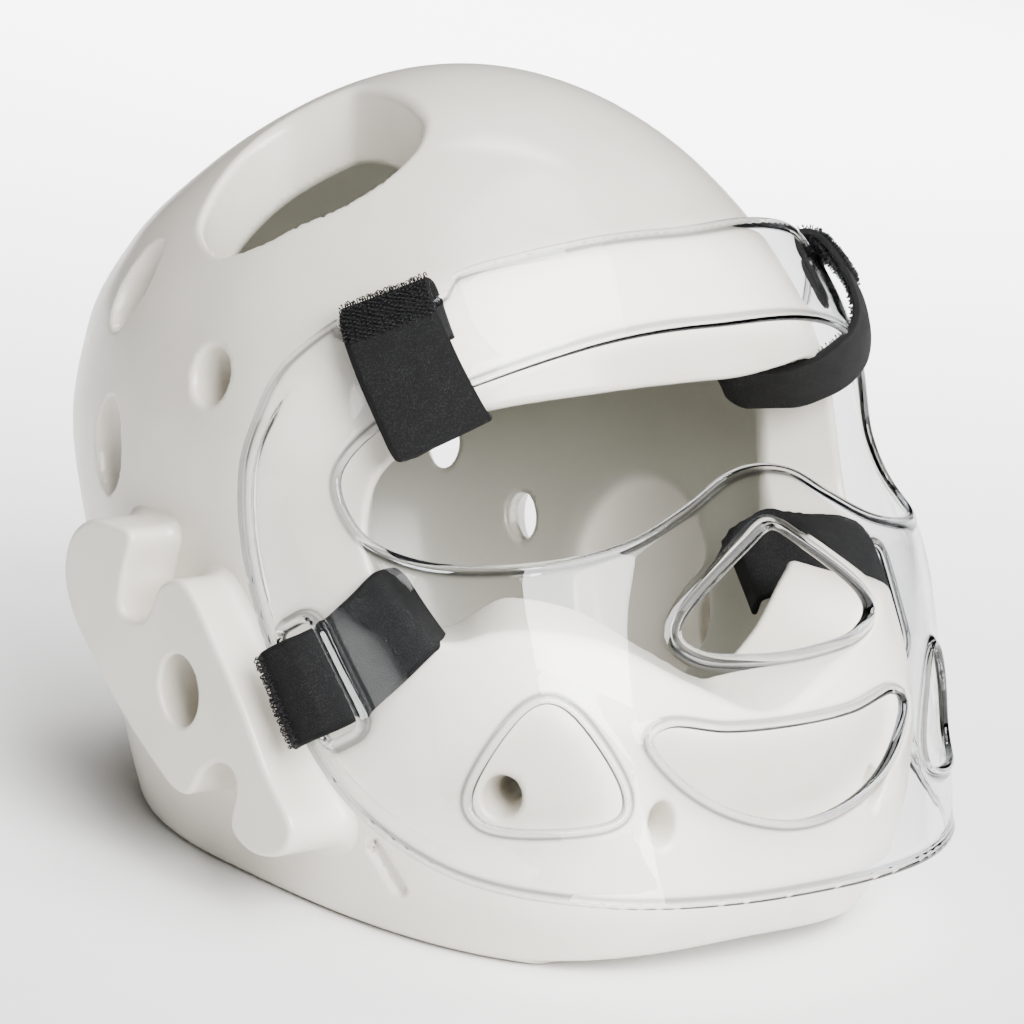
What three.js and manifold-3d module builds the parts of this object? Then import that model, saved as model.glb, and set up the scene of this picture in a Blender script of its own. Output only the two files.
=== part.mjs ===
// Sparring headgear: a hollow foam shell with ear guards and a clear face shield tied on by four straps.
// Millimetres, +Z up. It is drawn as worn, facing -Y, with z = 0 near the lowest edge of the chin, and the
// whole group is then leaned back until the bottom rim lies flat on the floor.
import * as THREE from 'three';
import { mergeVertices } from 'three/addons/utils/BufferGeometryUtils.js';
import Module from 'manifold-3d';

const wasm = await Module();
wasm.setup();

// Driving dimensions
const RIM_SLOPE = 9.5; // degrees that the bottom rim rises from the chin to the nape, as worn
const RIM_PIVOT = { y: -85, z: 1 }; // a point of the rim plane under the jaw
// Shallow arch under the chin: half span, rise, and its run along y from the pivot
const CHIN_ARCH = { half: 66, rise: 7, from: -130, to: -20, sides: 96 };
const FRAME_SHIFT_Y = -0.4; // brings the middle of the bounding box over the origin
const CLEARANCE = 0.35; // gap between neighbouring pieces
const SIDES = { right: -1, left: 1 }; // wearer's sides, as the sign of x

// Foam shell, one row for each level: half width, reach to the front and to the back of the ear line, and
// the squareness of the front half (2 is an ellipse)
const SHELL_LEVELS = [
  { z: -12, half: 79, front: 117, back: 78, square: 2.6 },
  { z: 2, half: 88, front: 129, back: 84, square: 2.8 },
  { z: 18, half: 94, front: 136, back: 89, square: 3.0 },
  { z: 40, half: 99, front: 139, back: 96, square: 3.1 },
  { z: 65, half: 102, front: 138, back: 105, square: 3.0 },
  { z: 100, half: 105.5, front: 128, back: 116, square: 2.6 },
  { z: 138, half: 106.5, front: 115, back: 127, square: 2.3 },
  { z: 168.5, half: 101.5, front: 105, back: 125, square: 2.15 },
  { z: 193.5, half: 90, front: 92, back: 104, square: 2.05 },
  { z: 215.5, half: 71, front: 75, back: 78, square: 2 },
  { z: 233.5, half: 47, front: 51, back: 50, square: 2 },
  { z: 247, half: 0, front: 0, back: 0, square: 2 },
];

// Head space inside the shell, in the same columns
const CAVITY_LEVELS = [
  { z: -40, half: 64, front: 90, back: 56, square: 2.4 },
  { z: 2, half: 68, front: 99, back: 64, square: 2.4 },
  { z: 40, half: 75, front: 106, back: 75, square: 2.4 },
  { z: 65, half: 79, front: 107, back: 84, square: 2.4 },
  { z: 100, half: 83, front: 103, back: 94, square: 2.4 },
  { z: 138, half: 84.5, front: 93, back: 105, square: 2.3 },
  { z: 162, half: 80.5, front: 84, back: 103, square: 2.15 },
  { z: 182, half: 71.5, front: 74, back: 86, square: 2.05 },
  { z: 200, half: 56, front: 60, back: 64.5, square: 2 },
  { z: 214, half: 37, front: 41, back: 41, square: 2 },
  { z: 225, half: 0, front: 0, back: 0, square: 2 },
];
const BACK_SQUARE = 2.2; // squareness of the back half of both
const SHELL_MESH = { low: -30, shoulder: 138, lowSteps: 9, crownSteps: 9, around: 48 };
const CAVITY_MESH = { low: -45, shoulder: 138, lowSteps: 7, crownSteps: 7, around: 36 };

// Half outline of the face opening, from the brow round the temple to the chin: degrees round OPENING_AXIS
const OPENING_AXIS = -12;
const OPENING_OUTLINE = [
  { turn: 0, z: 160 },
  { turn: 22, z: 158.5 },
  { turn: 41, z: 154 },
  { turn: 54, z: 143 },
  { turn: 58, z: 126 },
  { turn: 54, z: 108 },
  { turn: 47, z: 95 },
  { turn: 36, z: 95 },
  { turn: 25, z: 91 },
  { turn: 12, z: 77 },
  { turn: 0, z: 68 },
];
const OPENING_STEPS = 48;

// Vents and dents of the foam, square to the surface or upright: place on the surface, long and short size at
// the mouth, share of it left at the throat, direction of the long axis (degrees from level on the surface,
// or from +X in plan) and depth
const VENTS = [
  { name: 'crown', upright: true, x: 60, y: -5, z: 218, long: 63, short: 54, throat: 1, lean: 100, deep: 42 },
  { name: 'temple', x: 103, y: -10, z: 161, long: 18, short: 16, throat: 0.6, lean: 90, deep: 42 },
  { name: 'high dent', x: 89, y: 43, z: 183, long: 31, short: 19, throat: 0.5, lean: 102, deep: 9 },
  { name: 'low dent', x: 103, y: 42, z: 136, long: 29, short: 19, throat: 0.5, lean: 94, deep: 9 },
  { name: 'rear', x: 69, y: 88, z: 116, long: 30, short: 18, throat: 0.55, lean: 90, deep: 42 },
  { name: 'low rear', x: 88, y: 64, z: 95, long: 22, short: 13, throat: 0.7, lean: 85, deep: 42 },
  { name: 'cheek', x: 79, y: -111, z: 50, long: 13, short: 12, throat: 0.6, lean: 90, deep: 42 },
  { name: 'mouth', x: 41, y: -135, z: 41, long: 14, short: 9, throat: 0.45, lean: 90, deep: 42 },
];
const VENT_MOUTH_DEPTH = 13; // how far the flared mouth runs into the foam, unless the vent ends before
const VENT_RUN_OUT = 34; // the cutter's reach outside the surface
const VENT_SIDES = 12;

// Ear guard: side outline (y, z), outer face, and what is cut from it
const EAR_OUTLINE = [
  { y: 33, z: 110 }, { y: 22, z: 118.5 }, { y: 2, z: 115.5 }, { y: 7, z: 103 }, { y: 8, z: 92 },
  { y: -2, z: 91 }, { y: -10, z: 102 }, { y: -20, z: 104 }, { y: -35, z: 86 }, { y: -45, z: 71 },
  { y: -55, z: 53 }, { y: -65, z: 38 }, { y: -61, z: 31 }, { y: -47, z: 29 }, { y: -38, z: 35 },
  { y: -41, z: 47 }, { y: -39, z: 52 }, { y: -33, z: 53 }, { y: -27, z: 50 }, { y: -20, z: 42 },
  { y: -13, z: 42.5 }, { y: -3, z: 50 }, { y: 11, z: 63 }, { y: 22, z: 76 }, { y: 30, z: 89 },
];
const EAR_FACE = 124; // x of the outer face
const EAR_ROOT = 88; // x inside the shell where the pad starts before it is fitted to the shell
const EAR_BEVEL = 4;
const EAR_HOLE = { x: 110, y: -17, z: 72, long: 21, short: 17, run: 80, throat: 0.8 };
const EAR_POCKET = { x: 83, y: 8, z: 78, depth: 9, length: 27, height: 33 }; // hollow inside for the ear

// Face shield: sections round SHIELD_AXIS, thickness and rim
const SHIELD_AXIS = -28;
const SHIELD_SHEET = 2.2;
const SHIELD_LEVELS = [
  { z: 0, half: 106, front: 130, back: 60, square: 2.9 },
  { z: 50, half: 113, front: 119, back: 60, square: 2.9 },
  { z: 95, half: 113.5, front: 111, back: 60, square: 2.8 },
  { z: 135, half: 112, front: 103, back: 60, square: 2.3 },
  { z: 172, half: 106, front: 84, back: 60, square: 2.15 },
  { z: 200, half: 96, front: 73, back: 60, square: 2.1 },
  { z: 230, half: 84, front: 60, back: 60, square: 2.1 },
];
// Step along the side rim: shares of the way to the rim, turns between which it grows, heights where it fades
const SHIELD_FLANGE = { drop: 3.2, starts: 0.93, ends: 0.97, from: 35, to: 60, full: 148, none: 168 };
const SHIELD_OUTLINE = [
  { turn: 0, z: 203 }, { turn: 25, z: 201.5 }, { turn: 48, z: 196 }, { turn: 60, z: 190 },
  { turn: 72, z: 182 }, { turn: 82, z: 166 }, { turn: 87, z: 148 }, { turn: 88, z: 130 },
  { turn: 86, z: 110 }, { turn: 80, z: 84 }, { turn: 73, z: 62 }, { turn: 64, z: 44 },
  { turn: 50, z: 29 }, { turn: 32, z: 22 }, { turn: 14, z: 19.5 }, { turn: 0, z: 19 },
];
const EYE_OUTLINE = [
  { turn: 0, z: 175.5 }, { turn: 26, z: 172.5 }, { turn: 47, z: 163.5 }, { turn: 62, z: 152 },
  { turn: 68, z: 137 }, { turn: 64, z: 123 }, { turn: 55, z: 116 }, { turn: 40, z: 115.5 },
  { turn: 26, z: 120 }, { turn: 15, z: 129 }, { turn: 7, z: 136.5 }, { turn: 0, z: 138.5 },
];
const NOSE_OUTLINE = [
  { turn: 0, z: 121 }, { turn: 4.5, z: 117 }, { turn: 17.5, z: 99 }, { turn: 18.5, z: 94 },
  { turn: 15, z: 89 }, { turn: 6, z: 86.5 }, { turn: 0, z: 86 },
];
const MOUTH_OUTLINE = [
  { turn: 0, z: 65.5 }, { turn: 12, z: 66.5 }, { turn: 21, z: 69.5 }, { turn: 23.5, z: 67 },
  { turn: 20, z: 56 }, { turn: 12, z: 45 }, { turn: 0, z: 39.5 },
];
const CHEEK_OUTLINE = [
  { turn: 37.5, z: 78 }, { turn: 34.5, z: 75 }, { turn: 28, z: 53 }, { turn: 28.5, z: 46.5 },
  { turn: 37, z: 43.5 }, { turn: 45.5, z: 45.5 }, { turn: 47, z: 51.5 }, { turn: 40.5, z: 75 },
];
const RINGS_TO_RIM = [0.08, 0.3, 0.48, 0.64, 0.79, 0.93, 0.97, 1];
const SHIELD_STEPS = { rim: 60, eye: 40, nose: 24, mouth: 24, cheek: 20 };
const SHIELD_HEART = { turn: 0, z: 112 }; // the middle that the shield's rings close on

// Straps: webbing, and each route over the face shield: turn and height of the strap's middle, stand-off from
// the sheet, and the direction that the strap runs in (degrees above level)
const STRAP = { width: 28, thick: 2, across: 4, radius: 110 };
const BROW_ROUTE = [
  { turn: 60.6, z: 174.6, h: -3.4, lean: -63 },
  { turn: 63.8, z: 185.3, h: -3.4, lean: -63 },
  { turn: 65.2, z: 190.4, h: -2.6, lean: -63 },
  { turn: 65.7, z: 192, h: 0, lean: -63 },
  { turn: 65.2, z: 190.4, h: 2.6, lean: -63 },
  { turn: 63.8, z: 185.3, h: 3.1, lean: -63 },
  { turn: 60.4, z: 173.7, h: 3.3, lean: -63 },
  { turn: 57.5, z: 163.1, h: 3.5, lean: -63 },
  { turn: 55.1, z: 154.6, h: 2.6, lean: -64 },
  { turn: 53.6, z: 149.2, h: -4, lean: -65 },
  { turn: 53.2, z: 146.3, h: -12, lean: -66 },
  { turn: 53.1, z: 145.4, h: -26, lean: -66 },
  { turn: 53.3, z: 146.8, h: -39, lean: -66 },
  { turn: 54.3, z: 150.6, h: -44.2, lean: -66 },
  { turn: 57.2, z: 160.5, h: -42.6, lean: -66 },
];
const BROW_SLACK = { right: 0, left: 8, first: 4, last: 9 }; // the left one stands off in a loose loop
const CHEEK_ROUTE = [
  { turn: 79, z: 71.5, h: -0.6, lean: 24 },
  { turn: 74.5, z: 75.6, h: 2.2, lean: 24 },
  { turn: 70.6, z: 79.5, h: 2.9, lean: 25 },
  { turn: 69, z: 81.1, h: 3, lean: 26 },
  { turn: 66.5, z: 83.6, h: 0, lean: 27 },
  { turn: 63.8, z: 87.3, h: -4.8, lean: 30 },
  { turn: 62.2, z: 91.2, h: -7.5, lean: 35 },
  { turn: 60, z: 97, h: -11.3, lean: 40 },
  { turn: 57.5, z: 103.6, h: -12, lean: 44 },
  { turn: 55.8, z: 107.9, h: -17.5, lean: 46 },
  { turn: 55.8, z: 108.3, h: -27, lean: 46 },
  { turn: 56.2, z: 107.3, h: -38.5, lean: 46 },
  { turn: 58.3, z: 104.2, h: -47.2, lean: 46 },
  { turn: 62.3, z: 99.8, h: -46.8, lean: 46 },
];
const CHEEK_SLOT = { row: 4, wide: 13.8, margin: 2.4 }; // slot in the shield at that row of the strap

// Steps of reach, from the axis, of the cutters for wide openings and for small holes
const WIDE_REACH = [30, 80, 105, 130, 160, 600];
const HOLE_REACH = [85, 110, 135, 170];
const EVEN_DIAGONALS = 1e-3; // difference below which two diagonals count as the same

const radians = THREE.MathUtils.degToRad;

// Smooth column of a level table: a monotone cubic through the rows' values
function columnCurve(rows, valueOf) {
  const z = rows.map((row) => row.z);
  const value = rows.map(valueOf);
  const slope = z.slice(1).map((next, i) => (value[i + 1] - value[i]) / (next - z[i]));
  const tangent = z.map((_, i) => {
    const before = slope[Math.max(i - 1, 0)];
    const after = slope[Math.min(i, slope.length - 1)];
    return before * after <= 0 ? 0 : (2 * before * after) / (before + after);
  });
  return (at) => {
    const clamped = Math.min(Math.max(at, z[0]), z[z.length - 1]);
    const i = Math.max(0, Math.min(z.findIndex((level) => level > clamped) - 1, z.length - 2));
    const k = clamped >= z[z.length - 1] ? z.length - 2 : i;
    const span = z[k + 1] - z[k];
    const t = (clamped - z[k]) / span;
    const s = 1 - t;
    const ends = value[k] * (1 + 2 * t) * s * s + value[k + 1] * t * t * (1 + 2 * s);
    const bends = tangent[k] * t * s * s - tangent[k + 1] * t * t * s;
    return ends + bends * span;
  };
}

// Radius of a level's rounded outline in a direction. The squares of the reaches run smoothly from level to
// level, so a form whose last row is zero closes in a round crown.
function roundForm(rows) {
  const half = columnCurve(rows, (row) => row.half ** 2);
  const front = columnCurve(rows, (row) => row.front ** 2);
  const back = columnCurve(rows, (row) => row.back ** 2);
  const square = columnCurve(rows, (row) => row.square);
  return (angle, z, grow = 0) => {
    const facesFront = Math.sin(angle) < 0;
    const reach = Math.sqrt(Math.max((facesFront ? front : back)(z), 0)) + grow;
    const width = Math.sqrt(Math.max(half(z), 0)) + grow;
    const power = facesFront ? square(z) : BACK_SQUARE;
    const sideways = Math.abs(Math.cos(angle) / width) ** power;
    const lengthways = Math.abs(Math.sin(angle) / reach) ** power;
    return (sideways + lengthways) ** (-1 / power);
  };
}

// A closed solid from points and triangles, turned so that its faces point out
function closedSolid(points, triangles) {
  let volume = 0;
  for (let i = 0; i < triangles.length; i += 3) {
    const [a, b, c] = triangles.slice(i, i + 3).map((corner) => points[corner]);
    volume += a.dot(b.clone().cross(c));
  }
  const outward = volume > 0 ? triangles : triangles.slice().reverse();
  const vertProperties = new Float32Array(points.flatMap((point) => point.toArray()));
  const triVerts = new Uint32Array(outward);
  return new wasm.Manifold(new wasm.Mesh({ numProp: 3, vertProperties, triVerts }));
}

function solidOf(geometry) {
  const bare = geometry.clone();
  bare.deleteAttribute('normal');
  bare.deleteAttribute('uv');
  const merged = mergeVertices(bare, 1e-4);
  const place = merged.attributes.position;
  const pointAt = (_, i) => new THREE.Vector3().fromBufferAttribute(place, i);
  const points = Array.from({ length: place.count }, pointAt);
  return closedSolid(points, Array.from(merged.index.array));
}

// The two triangles of a four-sided face, split along its shorter diagonal, or from the higher of its first
// two corners where both are the same, so that both sides of the headgear are split alike
function splitFace(points, a, b, c, d) {
  const longer = points[a].distanceTo(points[c]) - points[b].distanceTo(points[d]);
  const even = Math.abs(longer) < EVEN_DIAGONALS;
  const alongAC = even ? points[a].z >= points[b].z : longer < 0;
  return alongAC ? [a, b, c, a, c, d] : [a, b, d, b, c, d];
}

// A solid through rings of points, closed at both ends by fans
function loft(rings, firstCentre, lastCentre) {
  const count = rings[0].length;
  const points = rings.flat().concat([firstCentre, lastCentre]);
  const first = rings.length * count;
  const last = first + 1;
  const top = (rings.length - 1) * count;
  const triangles = [];
  for (let j = 0; j < count; j++) {
    const next = (j + 1) % count;
    for (let i = 0; i + 1 < rings.length; i++) {
      const [a, b] = [i * count + j, i * count + next];
      triangles.push(...splitFace(points, a, b, b + count, a + count));
    }
    triangles.push(first, next, j, last, top + j, top + next);
  }
  return closedSolid(points, triangles);
}

function middleOf(points) {
  const sum = points.reduce((total, point) => total.add(point), new THREE.Vector3());
  return sum.divideScalar(points.length);
}

// The full closed outline, as turn and z, of a symmetric half that starts and ends on the middle line
function wholeOutline(half) {
  const other = half.slice(1, -1).reverse().map(({ turn, z }) => ({ turn: -turn, z }));
  return half.concat(other);
}

function smoothOutline(rows, steps) {
  const corners = rows.map(({ turn, z }) => new THREE.Vector3(turn, z, 0));
  const curve = new THREE.CatmullRomCurve3(corners, true, 'centripetal');
  return curve.getPoints(steps).slice(0, steps).map(({ x, y }) => ({ turn: x, z: y }));
}

// A wedge that cuts an outline of turns and heights straight out from an upright axis, in steps of reach
function wedge(outline, axisY, reaches) {
  const flat = outline.map(({ turn, z }) => new THREE.Vector2(turn, z));
  if (THREE.ShapeUtils.isClockWise(flat)) {
    flat.reverse();
  }
  const points = reaches.flatMap((radius) => flat.map(({ x: turn, y: z }) => {
    const angle = radians(turn);
    return new THREE.Vector3(radius * Math.sin(angle), axisY - radius * Math.cos(angle), z);
  }));
  const count = flat.length;
  const last = (reaches.length - 1) * count;
  const triangles = [];
  for (const [a, b, c] of THREE.ShapeUtils.triangulateShape(flat, [])) {
    triangles.push(c, b, a, a + last, b + last, c + last);
  }
  for (let start = 0; start < last; start += count) {
    for (let j = 0; j < count; j++) {
      const [a, b] = [start + j, start + ((j + 1) % count)];
      triangles.push(...splitFace(points, a, b, b + count, a + count));
    }
  }
  return closedSolid(points, triangles);
}

// Levels from the low end to the crown, spaced closer towards the crown
function crownLevels({ low, shoulder, lowSteps, crownSteps }, crown) {
  const levels = [];
  for (let i = 0; i < lowSteps; i++) {
    levels.push(low + ((shoulder - low) * i) / lowSteps);
  }
  for (let i = 0; i < crownSteps; i++) {
    levels.push(shoulder + (crown - shoulder) * Math.sin((i / crownSteps) * Math.PI * 0.5));
  }
  return levels;
}

function headForm(rows, shape, mesh, grow = 0) {
  const crown = rows[rows.length - 1].z;
  const ringAt = (z) => Array.from({ length: mesh.around }, (_, j) => {
    const angle = (2 * Math.PI * j) / mesh.around;
    const radius = shape(angle, z, grow);
    return new THREE.Vector3(radius * Math.cos(angle), radius * Math.sin(angle), z);
  });
  const rings = crownLevels(mesh, crown).map(ringAt);
  return loft(rings, new THREE.Vector3(0, 0, mesh.low), new THREE.Vector3(0, 0, crown + grow));
}

const shellRadius = roundForm(SHELL_LEVELS);
const cavityRadius = roundForm(CAVITY_LEVELS);
const shieldRadius = roundForm(SHIELD_LEVELS);

function surfaceNormal(shape, x, y, z) {
  const step = 1;
  const gapAt = (px, py, pz) => Math.hypot(px, py) - shape(Math.atan2(py, px), pz);
  return new THREE.Vector3(
    gapAt(x + step, y, z) - gapAt(x - step, y, z),
    gapAt(x, y + step, z) - gapAt(x, y - step, z),
    gapAt(x, y, z + step) - gapAt(x, y, z - step),
  ).normalize();
}

// The directions of a vent: out of the foam, along its long axis and across it
function ventAxes(vent, side, place) {
  const out = surfaceNormal(shellRadius, place.x, place.y, place.z);
  const level = new THREE.Vector3(-side * out.y, side * out.x, 0);
  if (vent.upright) {
    out.set(0, 0, 1);
    level.set(side, 0, 0);
  }
  const rise = out.clone().cross(level.normalize()).multiplyScalar(side);
  const lean = radians(vent.lean);
  const long = level.multiplyScalar(Math.cos(lean)).addScaledVector(rise, Math.sin(lean));
  return { out, long, short: out.clone().cross(long) };
}

// A vent's cutter: rounded rings along its way out, wide at the mouth and narrow at the throat
function ventCutter(vent, side) {
  const angle = Math.atan2(vent.y, side * vent.x);
  const radius = shellRadius(angle, vent.z);
  const place = new THREE.Vector3(radius * Math.cos(angle), radius * Math.sin(angle), vent.z);
  const { out, long, short } = ventAxes(vent, side, place);
  const mouth = Math.min(VENT_MOUTH_DEPTH, vent.deep - 1);
  const flare = (1 - vent.throat) / mouth;
  const stations = [
    { depth: -VENT_RUN_OUT, size: 1 + flare * VENT_RUN_OUT },
    { depth: 0, size: 1 },
    { depth: mouth, size: vent.throat },
    { depth: vent.deep, size: vent.throat },
  ];
  const rings = stations.map(({ depth, size }) => Array.from({ length: VENT_SIDES }, (_, j) => {
    const turn = (2 * Math.PI * j) / VENT_SIDES;
    return place.clone()
      .addScaledVector(out, -depth)
      .addScaledVector(long, 0.5 * vent.long * size * Math.cos(turn))
      .addScaledVector(short, 0.5 * vent.short * size * Math.sin(turn));
  }));
  return loft(rings, middleOf(rings[0]), middleOf(rings[rings.length - 1]));
}

// Everything under the rim plane, and the arch under the chin, whose round lies along y
function underRim() {
  const size = 500;
  const box = new THREE.BoxGeometry(size, size, size).translate(0, 0, -size / 2);
  const { half, rise, from, to, sides } = CHIN_ARCH;
  const radius = (half ** 2 + rise ** 2) / (2 * rise);
  const arch = new THREE.CylinderGeometry(radius, radius, to - from, sides);
  arch.translate(0, (from + to) / 2, rise - radius);
  const lean = new THREE.Matrix4().makeRotationX(radians(RIM_SLOPE));
  lean.setPosition(0, RIM_PIVOT.y, RIM_PIVOT.z);
  return solidOf(box.applyMatrix4(lean)).add(solidOf(arch.applyMatrix4(lean)));
}

function earHoleCutter(side, shrink) {
  const hole = new THREE.CylinderGeometry(0.5, 0.5, EAR_HOLE.run, VENT_SIDES).rotateZ(Math.PI / 2);
  hole.scale(1, EAR_HOLE.short * shrink, EAR_HOLE.long * shrink);
  return solidOf(hole.translate(side * EAR_HOLE.x, EAR_HOLE.y, EAR_HOLE.z));
}

function foamShell() {
  const opening = smoothOutline(wholeOutline(OPENING_OUTLINE), OPENING_STEPS);
  let foam = headForm(SHELL_LEVELS, shellRadius, SHELL_MESH);
  foam = foam.subtract(headForm(CAVITY_LEVELS, cavityRadius, CAVITY_MESH));
  foam = foam.subtract(wedge(opening, OPENING_AXIS, WIDE_REACH));
  for (const side of Object.values(SIDES)) {
    for (const vent of VENTS) {
      foam = foam.subtract(ventCutter(vent, side));
    }
    const pocket = new THREE.SphereGeometry(1, 16, 10);
    pocket.scale(EAR_POCKET.depth, EAR_POCKET.length, EAR_POCKET.height);
    foam = foam.subtract(solidOf(pocket.translate(side * EAR_POCKET.x, EAR_POCKET.y, EAR_POCKET.z)));
    foam = foam.subtract(earHoleCutter(side, EAR_HOLE.throat));
  }
  return foam.subtract(underRim());
}

function earGuard(side) {
  const outline = new THREE.Shape(EAR_OUTLINE.map(({ y, z }) => new THREE.Vector2(y, z)));
  const slab = new THREE.ExtrudeGeometry(outline, {
    depth: EAR_FACE - EAR_ROOT - EAR_BEVEL,
    bevelThickness: EAR_BEVEL,
    bevelSize: EAR_BEVEL,
    bevelOffset: -EAR_BEVEL,
    bevelSegments: 2,
    steps: 1,
  });
  const stand = new THREE.Matrix4().makeBasis(
    new THREE.Vector3(0, 1, 0),
    new THREE.Vector3(0, 0, 1),
    new THREE.Vector3(side, 0, 0),
  );
  stand.setPosition(side * EAR_ROOT, 0, 0);
  const pad = solidOf(slab.applyMatrix4(stand));
  const shellRoom = headForm(SHELL_LEVELS, shellRadius, SHELL_MESH, CLEARANCE);
  return pad.subtract(shellRoom).subtract(earHoleCutter(side, 1));
}

// A point of the shield by its turn (degrees), height and stand-off from the middle of the sheet
function shieldPoint(turn, z, h) {
  const angle = radians(turn);
  const radius = shieldRadius(angle - Math.PI / 2, z) + h;
  return new THREE.Vector3(radius * Math.sin(angle), SHIELD_AXIS - radius * Math.cos(angle), z);
}

// The step along the side rim, where the sheet drops towards the foam
function flangeDrop(turn, z, share) {
  const { smoothstep } = THREE.MathUtils;
  const outwards = smoothstep(share, SHIELD_FLANGE.starts, SHIELD_FLANGE.ends);
  const sidewards = smoothstep(Math.abs(turn), SHIELD_FLANGE.from, SHIELD_FLANGE.to);
  const lasting = 1 - smoothstep(z, SHIELD_FLANGE.full, SHIELD_FLANGE.none);
  return SHIELD_FLANGE.drop * outwards * sidewards * lasting;
}

// A place beside a row of a strap's route, as turn and height on the shield
function besideStrap({ turn, z, lean }, along, across) {
  const heading = radians(lean);
  const sideways = -Math.cos(heading) * along + Math.sin(heading) * across;
  const upwards = Math.sin(heading) * along + Math.cos(heading) * across;
  return { turn: turn + THREE.MathUtils.radToDeg(sideways / STRAP.radius), z: z + upwards };
}

function slotOutline() {
  const half = STRAP.width / 2 + CHEEK_SLOT.margin;
  const reach = CHEEK_SLOT.wide / 2;
  const corners = [[-1, -1], [1, -1], [1, 1], [-1, 1]];
  return corners.map(([u, v]) => besideStrap(CHEEK_ROUTE[CHEEK_SLOT.row], reach * u, half * v));
}

function mirrored(outline, side) {
  return outline.map(({ turn, z }) => ({ turn: side * turn, z }));
}

function faceShield() {
  const rim = smoothOutline(wholeOutline(SHIELD_OUTLINE), SHIELD_STEPS.rim);
  const face = (h) => RINGS_TO_RIM.map((share) => rim.map((edge) => {
    const turn = SHIELD_HEART.turn + share * (edge.turn - SHIELD_HEART.turn);
    const z = SHIELD_HEART.z + share * (edge.z - SHIELD_HEART.z);
    return shieldPoint(turn, z, h - flangeDrop(turn, z, share));
  }));
  const half = SHIELD_SHEET / 2;
  const rings = face(-half).concat(face(half).reverse());
  const { turn, z } = SHIELD_HEART;
  let sheet = loft(rings, shieldPoint(turn, z, -half), shieldPoint(turn, z, half));
  const eye = smoothOutline(wholeOutline(EYE_OUTLINE), SHIELD_STEPS.eye);
  const nose = smoothOutline(wholeOutline(NOSE_OUTLINE), SHIELD_STEPS.nose);
  const mouth = smoothOutline(wholeOutline(MOUTH_OUTLINE), SHIELD_STEPS.mouth);
  const cheek = smoothOutline(CHEEK_OUTLINE, SHIELD_STEPS.cheek);
  sheet = sheet.subtract(wedge(eye, SHIELD_AXIS, WIDE_REACH));
  sheet = sheet.subtract(wedge(nose, SHIELD_AXIS, HOLE_REACH));
  sheet = sheet.subtract(wedge(mouth, SHIELD_AXIS, HOLE_REACH));
  for (const side of Object.values(SIDES)) {
    sheet = sheet.subtract(wedge(mirrored(cheek, side), SHIELD_AXIS, HOLE_REACH));
    sheet = sheet.subtract(wedge(mirrored(slotOutline(), side), SHIELD_AXIS, HOLE_REACH));
  }
  return sheet;
}

// A strap: flat sections along its route, curved across with the shield
function strapSolid(route, side) {
  const lanes = Array.from({ length: STRAP.across + 1 }, (_, i) => STRAP.width * (i / STRAP.across - 0.5));
  const middle = (row, across) => {
    const { turn, z } = besideStrap(row, 0, across);
    return shieldPoint(side * turn, z, row.h);
  };
  const rings = route.map((row, i) => {
    const before = route[Math.max(i - 1, 0)];
    const after = route[Math.min(i + 1, route.length - 1)];
    const lift = lanes.map((lane) => {
      const heading = middle(after, lane).sub(middle(before, lane));
      const across = middle(row, lane + 1).sub(middle(row, lane - 1));
      return heading.cross(across).setLength(STRAP.thick / 2);
    });
    const upper = lanes.map((lane, k) => middle(row, lane).add(lift[k]));
    const lower = lanes.map((lane, k) => middle(row, lane).sub(lift[k]));
    return upper.concat(lower.reverse());
  });
  return loft(rings, middleOf(rings[0]), middleOf(rings[rings.length - 1]));
}

// The loose loop of a brow strap: its outer run swells away from the shield
function slackRoute(slack) {
  const { first, last } = BROW_SLACK;
  return BROW_ROUTE.map((row, i) => {
    const share = THREE.MathUtils.clamp((i - first) / (last - first), 0, 1);
    return { ...row, h: row.h + slack * Math.sin(Math.PI * share) };
  });
}

function finish(color, roughness, metalness, extra = {}) {
  return new THREE.MeshStandardMaterial({ color, roughness, metalness, ...extra });
}

function pieceMesh(name, solid, material) {
  const { numProp, vertProperties, triVerts } = solid.getMesh();
  const geometry = new THREE.BufferGeometry();
  const positions = vertProperties.filter((_, i) => i % numProp < 3);
  geometry.setAttribute('position', new THREE.BufferAttribute(new Float32Array(positions), 3));
  geometry.setIndex(new THREE.BufferAttribute(new Uint32Array(triVerts), 1));
  geometry.computeVertexNormals();
  const mesh = new THREE.Mesh(geometry, material);
  mesh.name = name;
  return mesh;
}

const foamFinish = () => finish(0xdedcd7, 0.42, 0);
const clearFinish = () => finish(0xeef2f4, 0.05, 0, { transparent: true, opacity: 0.25 });
const webbingFinish = () => finish(0x141414, 0.9, 0);

const headgear = new THREE.Group();
headgear.add(pieceMesh('foam_shell', foamShell(), foamFinish()));
headgear.add(pieceMesh('face_shield', faceShield(), clearFinish()));
for (const [label, side] of Object.entries(SIDES)) {
  const browStrap = strapSolid(slackRoute(BROW_SLACK[label]), side);
  const cheekStrap = strapSolid(CHEEK_ROUTE, side);
  headgear.add(pieceMesh(`ear_guard_${label}`, earGuard(side), foamFinish()));
  headgear.add(pieceMesh(`brow_strap_${label}`, browStrap, webbingFinish()));
  headgear.add(pieceMesh(`cheek_strap_${label}`, cheekStrap, webbingFinish()));
}

// Leaned back so that the rim lies flat, and set on the floor
const rimTilt = radians(RIM_SLOPE);
const rimHeight = RIM_PIVOT.z * Math.cos(rimTilt) - RIM_PIVOT.y * Math.sin(rimTilt);
headgear.rotation.x = -rimTilt;
headgear.position.set(0, FRAME_SHIFT_Y, -rimHeight);

export default headgear;
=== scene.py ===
import math
import bpy
import numpy as np
from mathutils import Matrix, geometry


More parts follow.
